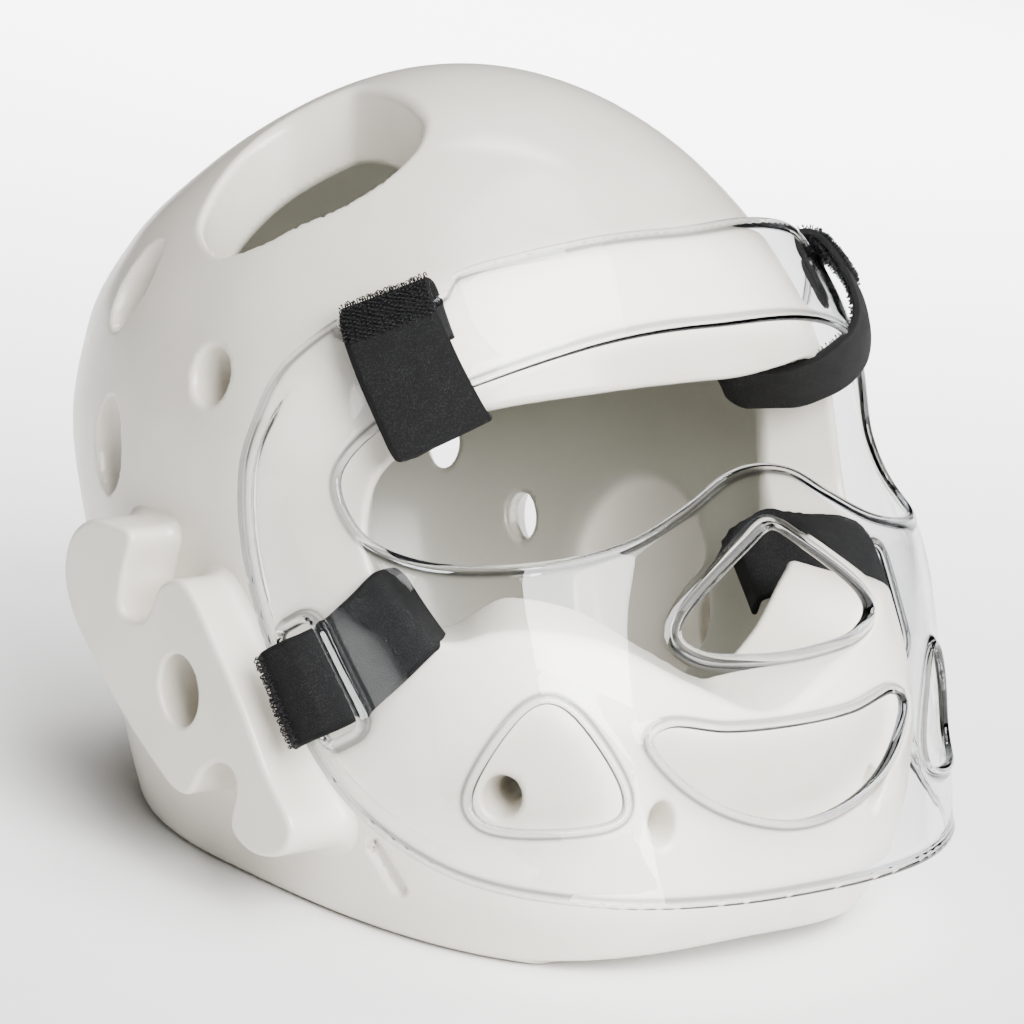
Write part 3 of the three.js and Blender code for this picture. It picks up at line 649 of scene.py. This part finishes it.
# Ear pad on the wearer's left: its side outline up to the outer face, which comes in towards the chin,
# filleted on to the shell and ending just under its surface, with the ear hole
def earField(x, y, z):
    outer = outerForm.distance(x, y, z)
    faceY, faceZ = ear["facePlace"]
    face = ear["face"] - ear["faceBack"] * (faceY - y) - ear["faceDown"] * (faceZ - z)
    pad = meet(earTable.read(y, z), x - face, ear["edge"])
    joined = join(pad, outer + ear["clear"], ear["fillet"])
    value = np.maximum(np.maximum(joined, pad - ear["skirt"]), -(outer + ear["sink"]))
    return meet(value, -earHoleDistance(y, z, 1.0), ear["holeRound"])


# The ear pad from its field, as it is on the left and mirrored on the right
def buildEars():
    points, faces = netSurface(earField, ear["low"], ear["high"], ear["step"])
    normals = fieldNormals(earField, points)
    guards = ((1.0, "earGuardLeft", "ear_guard_left"), (-1.0, "earGuardRight", "ear_guard_right"))
    for side, name, node in guards:
        turned = faces if side > 0 else faces[:, ::-1]
        mirror = (side, 1.0, 1.0)
        placed = toRest(points * mirror)
        piece = standFor(node, "foam", name, placed, [turned], normals=normals * mirror)


sheet = dict(
    axis=-28.0, scale=110.0, half=1.1, backSquare=2.2, spacing=1.5,
    rows=[0.45, 0.9, 1.35, 1.8, 2.5, 3.4, 4.6, 6.2, 7.3, 8.4, 9.5, 10.8], holeRows=7, rowSlack=0.3,
    grid=2.6, gridRow=0.87, gridLow=(-180.0, 10.0), gridHigh=(180.0, 210.0), edgeSlack=0.02, weld=1e-5,
    levels=[
        (0, 106, 130, 60, 2.75), (50, 113, 119, 60, 2.65), (95, 113.5, 111, 60, 2.55),
        (135, 112, 102.5, 60, 2.05), (155, 108, 90.5, 60, 2), (172, 102, 81, 60, 2.05),
        (200, 86.5, 65, 60, 2), (230, 70, 50, 60, 2),
    ],
    outline=[
        (0, 203), (25, 201.5), (48, 196), (60, 190), (72, 182), (82, 166), (87, 148), (88, 130), (86, 110),
        (80, 84), (73, 62), (64, 44), (50, 29), (32, 22), (14, 19.5), (0, 19),
    ],
    eye=[
        (0, 175.5), (26, 172.5), (47, 163.5), (62, 152), (68, 137), (64, 123), (55, 116), (40, 115.5),
        (26, 120), (15, 129), (7, 136.5), (0, 138.5),
    ],
    nose=[(0, 121), (4.5, 117), (17.5, 99), (18.5, 94), (15, 89), (6, 86.5), (0, 86)],
    mouth=[(0, 65.5), (12, 66.5), (21, 69.5), (23.5, 67), (20, 56), (12, 45), (0, 39.5)],
    cheek=[(37.5, 78), (34.5, 75), (28, 53), (28.5, 46.5), (37, 43.5), (45.5, 45.5), (47, 51.5), (40.5, 75)],
    slotWide=13.8, slotMargin=2.4, slotRound=4.5, notchDeep=3.0, notchFront=4.0, notchBack=1.2,
    # the left brow corner hangs a little higher: rise, and its fade by turn (radians) and height
    leftRise=5.5, riseTurn=(0.0, 0.9), riseTop=(115.0, 170.0),
    # beads round the holes: rise, width, and how much thicker each face is
    beads=dict(nose=(1.1, 2.5, 0.8), slot=(1.6, 2.6, 1.2), mouth=(0.9, 2.4, 0.1), cheek=(0.9, 2.4, 0.1)),
    # thicker rounded edges; and the painted shade lines, one at the very edge and one a little inside it,
    # with their width
    edgeThick=0.5, edgeWide=2.2, edgeReach=0.6, edgeRings=6, shadeLineAt=2.3, shadeLineWide=0.6,
    # side flange: drop, and its fade by distance from the rim, by turn (degrees) and by height
    flangeDrop=3.2, flangeIn=(6.0, 10.0), flangeTurn=(35.0, 60.0), flangeTop=(148.0, 168.0),
)
sheetForm = RoundForm(sheet["levels"], sheet["backSquare"])


# A point of the shield by its turn (radians), height and stand-off from the middle of the sheet
def shieldPoint(turn, z, h):
    radius = sheetForm.radius(turn, z) + h
    rise = smoothStep(*sheet["riseTurn"], turn) * smoothStep(*sheet["riseTop"], z)
    height = z + sheet["leftRise"] * rise
    return np.stack([radius * np.sin(turn), sheet["axis"] - radius * np.cos(turn), height], -1)


strap = dict(
    width=29.0, thick=1.9, radius=110.0, along=120, across=18, edgeSteps=7, look=0.5,
    # hooks: a raised bed with its fades before and after, and wires that each have a swing and a size
    hookLift=0.35, hookFade=(0.6, 0.3), hookMargin=2.0, hookPitch=1.3, hookSeed=7,
    hookHigh=1.25, hookReach=0.8, hookWire=0.21, hookSides=3, hookSwing=(0.9, 1.9), hookSize=(0.75, 1.15),
    hookPath=[(0.0, -0.2), (-0.1, 0.4), (0.05, 0.85), (0.5, 1.0), (0.85, 0.75), (0.75, 0.4)],
)
# Routes: turn and height of the strap's middle, stand-off from the sheet, direction above level
browRoute = [
    (60.2, 170.5, -3.4, -71), (63.6, 180.5, -3.4, -71), (65.2, 185.0, -2.4, -71), (65.7, 186.4, 0, -71),
    (65.2, 185.0, 2.4, -71), (63.6, 180.4, 3.1, -71), (60.6, 172.0, 3.3, -70), (57.0, 161.6, 3.5, -69),
    (53.5, 151.4, 3.3, -67), (52.8, 149.4, 2.6, -66), (52.6, 148.6, 0.4, -66), (53.3, 148.0, -11, -66),
    (55.3, 147.0, -26, -66), (57.6, 147.6, -39, -66), (59.4, 150.6, -44.2, -66), (62.4, 160.5, -42.6, -66),
]
looseBrowRoute = [
    (60.2, 170.5, -3.4, -71), (63.6, 180.5, -3.4, -71), (65.1, 185.0, -2.0, -71), (65.2, 187.2, 1.4, -71),
    (64.0, 186.2, 4.9, -71), (62.2, 181.6, 6.9, -71), (59.6, 174.0, 7.3, -70), (57.0, 165.6, 6.0, -68),
    (55.4, 159.4, 2.6, -66), (54.2, 154.2, -4.4, -65), (53.8, 150.4, -13, -66), (53.3, 147.6, -26, -66),
    (53.4, 147.6, -39, -66), (54.3, 151.0, -44.2, -66), (57.2, 159.5, -42.6, -66),
]
cheekRoute = [
    (77.4, 72.8, -0.4, 29), (75.2, 74.9, 2.2, 29), (72.6, 77.4, 2.9, 29), (71.4, 78.6, 2.9, 29),
    (69.2, 80.8, 0, 30), (66.4, 84.4, -4.4, 32), (64.2, 88.6, -7.4, 36), (61.4, 94.2, -10.2, 40),
    (59.2, 98.7, -11.1, 45), (58.5, 100.0, -11.8, 46), (58.3, 100.3, -14.2, 46), (59.2, 100.4, -27, 46),
    (62.6, 98.4, -38.5, 46), (66.6, 94.6, -46.5, 46), (70.5, 90.2, -45.5, 46),
]
slotRow, browRow = cheekRoute[4], (65.0, 184.4, 0.0, -71)
# Hooked stretches of a strap, from one row of its route to another, on its upper or lower face
browHooks = [(2.8, 5.4, 1.0)]
looseHooks = [(2.8, 5.6, 1.0), (3.6, 11.0, -1.0)]
cheekHooks = [(0.05, 1.0, 1.0)]


# A place beside a row of a route, as turn (degrees) and height
def besideRow(turn, z, lean, along, across):
    heading = np.radians(lean)
    sideways = -np.cos(heading) * along + np.sin(heading) * across
    upwards = np.sin(heading) * along + np.cos(heading) * across
    return turn + np.degrees(sideways / strap["radius"]), z + upwards


# Corners of the cheek strap's slot across its route
def slotOutline(side):
    half, wide = strap["width"] / 2.0 + sheet["slotMargin"], 0.5 * sheet["slotWide"]
    turn, z, _, lean = slotRow
    corners = [besideRow(turn, z, lean, wide * u, half * v) for u, v in ((-1, -1), (1, -1), (1, 1), (-1, 1))]
    return np.array(corners) * (side, 1.0)


# The rim's half outline with the notch that the brow strap is folded over
def notchedRim():
    turn, z, _, lean = browRow
    half, deep = 0.5 * strap["width"], sheet["notchDeep"]
    front, back = half + sheet["notchFront"], half + sheet["notchBack"]
    ways = ((-1.3, front + 6.0), (-1.0, front + 3.0), (0.9, front + 0.7), (deep, front - 1.5), (deep, 0.0),
            (deep, 2.0 - back), (deep - 2.5, -back), (-1.0, -back - 0.4), (-0.7, -back - 3.0))
    notch = [besideRow(turn, z, lean, along, across) for along, across in ways]
    rim = sheet["outline"]
    before = [row for row in rim if row[0] < notch[0][0] - 2.0 and row[1] > z]
    after = [row for row in rim if row[1] < notch[-1][1] - 4.0]
    return before + notch + after


# Points spaced evenly along a closed outline
def evenOutline(outline, spacing):
    closed = np.concatenate([outline, outline[:1]])
    length = np.concatenate([[0.0], np.cumsum(np.linalg.norm(np.diff(closed, axis=0), axis=1))])
    at = np.linspace(0.0, length[-1], int(length[-1] / spacing), endpoint=False)
    return np.stack([np.interp(at, length, closed[:, k]) for k in (0, 1)], 1)


# An outline with its corners cut to arcs
def roundedOutline(corners, radius):
    before, after = np.roll(corners, 1, 0), np.roll(corners, -1, 0)
    a, b = (corners + unitVector(other - corners) * radius for other in (before, after))
    t = np.linspace(0.0, 1.0, 9)[:, None, None]
    arc = a * (1 - t) ** 2 + corners * 2 * t * (1 - t) + b * t ** 2
    return arc.transpose(1, 0, 2).reshape(-1, 2)


# An outline moved sideways by a distance, to the left of its direction
def besideOutline(outline, distance):
    ahead = unitVector(np.roll(outline, -1, 0) - np.roll(outline, 1, 0))
    return outline + distance * np.stack([-ahead[:, 1], ahead[:, 0]], 1)


# The sheet's edges on the chart (arc length, height), each turned so that the sheet is on its left
class SheetChart:
    def __init__(self):
        scale = np.array([math.radians(1.0) * sheet["scale"], 1.0])
        halves = {"rim": notchedRim(), "eye": sheet["eye"], "nose": sheet["nose"], "mouth": sheet["mouth"]}
        drawn = {name: [smoothOutline(wholeOutline(half) * scale, 8)] for name, half in halves.items()}
        drawn["cheek"] = [smoothOutline(np.array(sheet["cheek"]) * (side, 1.0) * scale, 8) for side in sides]
        slots = [slotOutline(side) * scale for side in sides]
        drawn["slot"] = [roundedOutline(slot, sheet["slotRound"]) for slot in slots]
        self.loops = {}
        for name, outlines in drawn.items():
            even = [evenOutline(outline, sheet["spacing"]) for outline in outlines]
            self.loops[name] = [self.turned(outline, name == "rim") for outline in even]

    def turned(self, outline, anticlockwise):
        u, v = outline.T
        area = (u * np.roll(v, -1) - v * np.roll(u, -1)).sum()
        return outline if (area > 0.0) == anticlockwise else outline[::-1]

    def distances(self, u, v):
        found = {}
        for name, outlines in self.loops.items():
            found[name] = np.minimum.reduce([outlineDistance(u, v, o) for o in outlines])
        return found

    def sheet(self, u, v):
        found = self.distances(u, v)
        return np.maximum.reduce([d if name == "rim" else -d for name, d in found.items()])


# Stand-off of the sheet's middle: side flange, and raised beads round the holes
def sheetRelief(u, v, found):
    turn = np.degrees(np.abs(u) / sheet["scale"])
    inward = 1.0 - smoothStep(*sheet["flangeIn"], -found["rim"])
    sideways = smoothStep(*sheet["flangeTurn"], turn)
    lasting = 1.0 - smoothStep(*sheet["flangeTop"], v)
    relief = -sheet["flangeDrop"] * inward * sideways * lasting
    for name, (high, wide, _) in sheet["beads"].items():
        relief = relief + high * np.exp(-((found[name] / wide) ** 2))
    return relief


# The sheet: rows of points beside every edge and a grid between them, joined to triangles on the chart,
# in two faces with half rounds along every edge
def buildShield():
    chart = SheetChart()
    half = sheet["half"]
    loops = [besideOutline(loop, half) for outlines in chart.loops.values() for loop in outlines]
    first = np.concatenate([[0], np.cumsum([len(loop) for loop in loops])])
    ring = lambda count: np.stack([np.arange(count), np.roll(np.arange(count), -1)], 1)
    edges = np.concatenate([ring(len(loop)) + start for loop, start in zip(loops, first)])
    rows = []
    for name, outlines in chart.loops.items():
        for distance in sheet["rows"][:None if name == "rim" else sheet["holeRows"]]:
            rows.append(np.concatenate([besideOutline(loop, half + distance) for loop in outlines]))
            off = np.abs(chart.sheet(*rows[-1].T) + half + distance)
            rows[-1] = rows[-1][off < sheet["rowSlack"]]
    grid = sheet["grid"]
    spans = zip(sheet["gridLow"], sheet["gridHigh"], (grid, sheet["gridRow"] * grid))
    gu, gv = np.meshgrid(*(np.arange(*span) for span in spans), indexing="ij")
    gu = gu + 0.5 * grid * (np.arange(gu.shape[1]) % 2)
    between = np.stack([gu.ravel(), gv.ravel()], 1)
    found = chart.distances(*between.T)
    nearHole = np.minimum.reduce([d for name, d in found.items() if name != "rim"])
    rimRow, holeRow = sheet["rows"][-1] + grid, sheet["rows"][sheet["holeRows"] - 1] + grid
    clear = (-found["rim"] > rimRow) & (nearHole > holeRow)
    flat = np.concatenate(loops + rows + [between[clear]])
    made = geometry.delaunay_2d_cdt(flat.tolist(), edges.tolist(), [], 0, sheet["weld"])
    flat, tri = np.array([list(p) for p in made[0]]), np.array(made[2])
    middle = flat[tri].mean(1)
    tri = tri[chart.sheet(*middle.T) < -half + sheet["edgeSlack"]]
    count, rim = len(flat), first[-1]
    found = chart.distances(*flat.T)
    relief, inside = sheetRelief(*flat.T, found), -chart.sheet(*flat.T)
    thick = half + sheet["edgeThick"] * np.exp(-((inside / sheet["edgeWide"]) ** 2))
    for name, (_, wide, more) in sheet["beads"].items():
        thick = thick + more * np.exp(-((found[name] / wide) ** 2))
    layers = [(flat, relief + thick), (flat, relief - thick)]
    depths = [inside, inside]
    out = np.concatenate([besideOutline(loop, -1.0) - loop for loop in loops])
    angles = np.pi * np.arange(1, sheet["edgeRings"]) / sheet["edgeRings"]
    reach = half + sheet["edgeReach"] * (thick[:rim] - half)
    for angle in angles:
        beyond = out * (reach * math.sin(angle))[:, None]
        layers.append((flat[:rim] + beyond, relief[:rim] + thick[:rim] * math.cos(angle)))
        depths.append(np.full(rim, half * (1.0 - math.sin(angle))))
    depths = np.concatenate(depths)
    # painted shade: dark lines at the very edge and a little inside it, standing in for the dark lines that
    # the clear edges refract
    lines = [np.exp(-(((depths - at) / sheet["shadeLineWide"]) ** 2)) for at in (0.0, sheet["shadeLineAt"])]
    points = np.concatenate([shieldPoint(p[:, 0] / sheet["scale"], p[:, 1], h) for p, h in layers])
    rings = [np.arange(rim)] + [2 * count + k * rim + np.arange(rim) for k in range(len(angles))]
    rings.append(count + np.arange(rim))
    a, b = edges.T
    pairs = zip(rings[:-1], rings[1:])
    strips = [np.stack([upper[b], upper[a], lower[a], lower[b]], 1) for upper, lower in pairs]
    sets = [tri, tri[:, ::-1] + count] + strips
    used, renumbered = np.unique(np.concatenate([s.ravel() for s in sets]), return_inverse=True)
    parts = np.split(renumbered, np.cumsum([s.size for s in sets])[:-1])
    faces = [part.reshape(s.shape) for part, s in zip(parts, sets)]
    marks = {"paintedEdgeShade": np.maximum(*lines)[used]}
    standFor("face_shield", "clear_sheet", "faceShield", toRest(points[used]), faces, marks=marks)


# A smooth route: rows spaced by their length on the shield, read by monotone cubics
def routeCurves(route):
    rows = np.array(route, float)
    middle = shieldPoint(np.radians(rows[:, 0]), rows[:, 1], rows[:, 2])
    length = np.concatenate([[0.0], np.cumsum(np.linalg.norm(np.diff(middle, axis=0), axis=1))])
    return length, [levelCurve(length, rows[:, k]) for k in range(4)]


# One wire hook for each root: rings of its bent middle line, which leans over to one side or the other
def hookForms(root, heading, across, lift):
    path = np.array(strap["hookPath"])
    reach, high = strap["hookReach"], strap["hookHigh"]
    dice = np.random.default_rng(strap["hookSeed"])
    swing = (dice.uniform(*strap["hookSwing"], len(root)) * dice.choice(sides, len(root)))[:, None]
    size = dice.uniform(*strap["hookSize"], len(root))[:, None, None]
    over = across * np.sin(swing) - heading * np.cos(swing)
    aside = np.cross(over, lift)
    middle = path[None, :, :1] * reach * over[:, None] + path[None, :, 1:] * high * lift[:, None]
    bend = unitVector(np.gradient(path * (reach, high), axis=0))
    normal = -bend[None, :, 1:] * over[:, None] + bend[None, :, :1] * lift[:, None]
    angle = 2.0 * np.pi * np.arange(strap["hookSides"]) / strap["hookSides"]
    ring = np.cos(angle)[:, None] * normal[:, :, None] + np.sin(angle)[:, None] * aside[:, None, None]
    points = root[:, None, None] + size[..., None] * (middle[:, :, None] + strap["hookWire"] * ring)
    rings, sidesOf = len(path), len(angle)
    start = (rings * sidesOf) * np.arange(len(root))[:, None, None]
    faces = tubeQuads(rings, sidesOf)[None] + start
    first = np.arange(sidesOf)
    ends = np.stack([first[::-1], (rings - 1) * sidesOf + first])[None] + start
    return points.reshape(-1, 3), faces.reshape(-1, 4), ends.reshape(-1, sidesOf)


# A strap: flat sections with round edges along its route, curved across with the shield, and its hooks
def buildStrap(name, node, route, side, hooks):
    length, curves = routeCurves(route)
    rowAt = lambda row: float(np.interp(row, np.arange(len(length)), length))
    s = np.linspace(0.0, length[-1], strap["along"])
    angle = np.linspace(0.5 * np.pi, -0.5 * np.pi, strap["edgeSteps"])[1:-1]
    edge = 0.5 * strap["thick"]
    lane = np.linspace(-0.5, 0.5, strap["across"]) * (strap["width"] - strap["thick"])
    outward, upward, flatLift = edge * np.cos(angle), edge * np.sin(angle), np.full(len(lane), edge)
    lanes = np.concatenate([lane, lane[-1] + outward, lane[::-1], lane[0] - outward])
    lifts = np.concatenate([flatLift, upward, -flatLift, -upward])

    def middle(at, across):
        turn, z, h, lean = (curve(at) for curve in curves)
        sideTurn, sideZ = besideRow(turn, z, lean, 0.0, across)
        return shieldPoint(np.radians(side * sideTurn), sideZ, h)

    # Directions along the strap, across it and out of its upper face
    def directions(at, across):
        look = strap["look"]
        ahead, behind = np.minimum(at + look, length[-1]), np.maximum(at - look, 0.0)
        heading = unitVector(middle(ahead, across) - middle(behind, across))
        sideways = unitVector(middle(at, across + look) - middle(at, across - look))
        return heading, sideways, side * unitVector(np.cross(sideways, heading))

    gridS, gridLane = np.meshgrid(s, lanes, indexing="ij")
    before, after = strap["hookFade"]
    beds = [(rowAt(a), rowAt(b)) for a, b, face in hooks if face > 0.0]
    raised = sum(smoothStep(a - before, a, gridS) * smoothStep(b + after, b, gridS) for a, b in beds)
    stand = lifts[None, :] + strap["hookLift"] * raised * (lifts[None, :] > 0.9 * edge)
    points = middle(gridS, gridLane) + directions(gridS, gridLane)[2] * stand[..., None]
    rings, count = len(s), len(lanes)
    wide, quads = strap["across"], tubeQuads(rings, count)
    upper, lower = np.arange(wide), wide + len(angle) + np.arange(wide)[::-1]
    first = np.stack([upper[:-1], upper[1:], lower[1:], lower[:-1]], 1)
    endRight = np.concatenate([[upper[-1]], wide + np.arange(len(angle)), [lower[-1]]])
    endLeft = np.concatenate([[upper[0]], np.arange(2 * wide + len(angle), count)[::-1], [lower[0]]])
    fanOf = lambda end: np.stack([np.full(len(end) - 2, end[0]), end[1:-1], end[2:]], 1)
    fan = np.concatenate([fanOf(endRight), fanOf(endLeft)[:, ::-1]])
    flat, last = points.reshape(-1, 3), (rings - 1) * count
    faces = outwardFaces(flat, [quads, first[:, ::-1], fan[:, ::-1], first + last, fan + last])
    uv = [np.stack([gridS.ravel(), gridLane.ravel()], 1)]
    pieces, hook = [flat], [np.zeros(len(flat))]
    for a, b, face in hooks:
        pitch, wide = strap["hookPitch"], strap["width"] - strap["hookMargin"]
        hookLanes = np.arange(-0.5, 0.5, pitch / strap["width"]) * wide
        gs, gl = np.meshgrid(np.arange(rowAt(a), rowAt(b), pitch), hookLanes, indexing="ij")
        gs = (gs + 0.5 * pitch * (np.arange(gs.shape[1]) % 2)).ravel()
        gl = gl.ravel()
        heading, sideways, lift = directions(gs, gl)
        root = middle(gs, gl) + lift * face * (edge + strap["hookLift"] * (face > 0.0))
        made, wires, ends = hookForms(root, heading, sideways, lift * face)
        faces += outwardFaces(made, [wires, ends], sum(len(p) for p in pieces))
        pieces.append(made)
        each = len(made) // len(root)
        uv.append(np.repeat(np.stack([gs, gl], 1), each, 0))
        hook.append(np.ones(len(made)))
    marks = {"hook": np.concatenate(hook)}
    points, uv = toRest(np.concatenate(pieces)), np.concatenate(uv) * 0.001
    standFor(node, "webbing", name, points, faces, uv=uv, marks=marks)


# Faces turned so that the volume inside them is positive, numbered from a start
def outwardFaces(points, faceSets, start=0):
    centred = points - points.mean(0)
    volume = sum((centred[f[:, 0]] * np.cross(centred[f[:, k]], centred[f[:, k + 1]])).sum()
                 for f in faceSets for k in range(1, f.shape[1] - 1))
    return [(f if volume > 0.0 else f[:, ::-1]) + start for f in faceSets]


# The four straps; the left brow strap hangs in a looser loop
def buildStraps():
    buildStrap("browStrapRight", "brow_strap_right", browRoute, -1.0, browHooks)
    buildStrap("browStrapLeft", "brow_strap_left", looseBrowRoute, 1.0, looseHooks)
    buildStrap("cheekStrapRight", "cheek_strap_right", cheekRoute, -1.0, cheekHooks)
    buildStrap("cheekStrapLeft", "cheek_strap_left", cheekRoute, 1.0, cheekHooks)


# Pale floor, soft studio light, and the camera at the photograph's angle to the object
studio = dict(
    azimuth=-40.0, elevation=7.5, distance=1500.0, target=(0, 0, 120), lens=174.0, sensor=36.0,
    shiftX=0.0488, shiftY=-0.0279, clip=(0.05, 60.0),
    floorSize=14.0, floorTone=(0.93, 0.93, 0.93, 1.0), floorRough=0.8,
    worldTone=(1.0, 1.0, 1.0, 1.0), world=0.035,
    # place, aim, size, power, spread in degrees
    lamps=[
        ((-0.5, -2.2, 1.6), (0, 0, 0.1), 1.7, 230.0, 180),
        ((-2.3, -0.3, 1.2), (0, 0, 0.1), 0.4, 2.0, 180),
        ((0.1, -0.8, 2.9), (0, 0, 0.1), 2.0, 88.0, 180),
        ((1.1, 1.25, 2.6), (1.0, 1.15, 0), 1.6, 72.0, 50),
    ],
)


# A matrix with the axes as its columns, at a place
def axesMatrix(axes, place):
    return Matrix([*np.column_stack([*axes, place]).tolist(), (0.0, 0.0, 0.0, 1.0)])


def buildStudio():
    az, el = math.radians(studio["azimuth"]), math.radians(studio["elevation"])
    back = np.array([math.sin(az) * math.cos(el), -math.cos(az) * math.cos(el), math.sin(el)])
    right = np.array([math.cos(az), math.sin(az), 0.0])
    eye = toRest(np.asarray(studio["target"], float) + back * studio["distance"])
    axes = [wornDirection(axis) for axis in (right, np.cross(back, right), back)]
    data = bpy.data.cameras.new("photoCamera")
    data.lens, data.sensor_width = studio["lens"], studio["sensor"]
    data.shift_x, data.shift_y = studio["shiftX"], studio["shiftY"]
    data.clip_start, data.clip_end = studio["clip"]
    camera = addObject("photoCamera", data)
    camera.matrix_world = axesMatrix(axes, eye)
    bpy.context.scene.camera = camera
    for place, aim, size, power, spread in studio["lamps"]:
        light = bpy.data.lights.new("softBox", "AREA")
        light.size, light.energy, light.spread = size, power, math.radians(spread)
        lamp = addObject("softBox", light)
        away = unitVector(np.asarray(place, float) - np.asarray(aim, float))
        side = unitVector(np.cross((0.0, 0.0, 1.0), away))
        lamp.matrix_world = axesMatrix((side, np.cross(away, side), away), place)
    world = bpy.data.worlds.new("studioWorld")
    world.use_nodes = True
    background = world.node_tree.nodes["Background"]
    background.inputs["Color"].default_value = studio["worldTone"]
    background.inputs["Strength"].default_value = studio["world"]
    bpy.context.scene.world = world
    wide = 0.5 * studio["floorSize"]
    corners = wide * np.array([(-1, -1, 0), (1, -1, 0), (1, 1, 0), (-1, 1, 0)])
    m = Material("paleFloor")
    m.set(Base_Color=studio["floorTone"], Roughness=studio["floorRough"])
    floor = meshPiece("paleFloor", corners, [np.array([[0, 1, 2, 3]])], m.material)


buildShell()
buildEars()
buildShield()
buildStraps()
buildStudio()

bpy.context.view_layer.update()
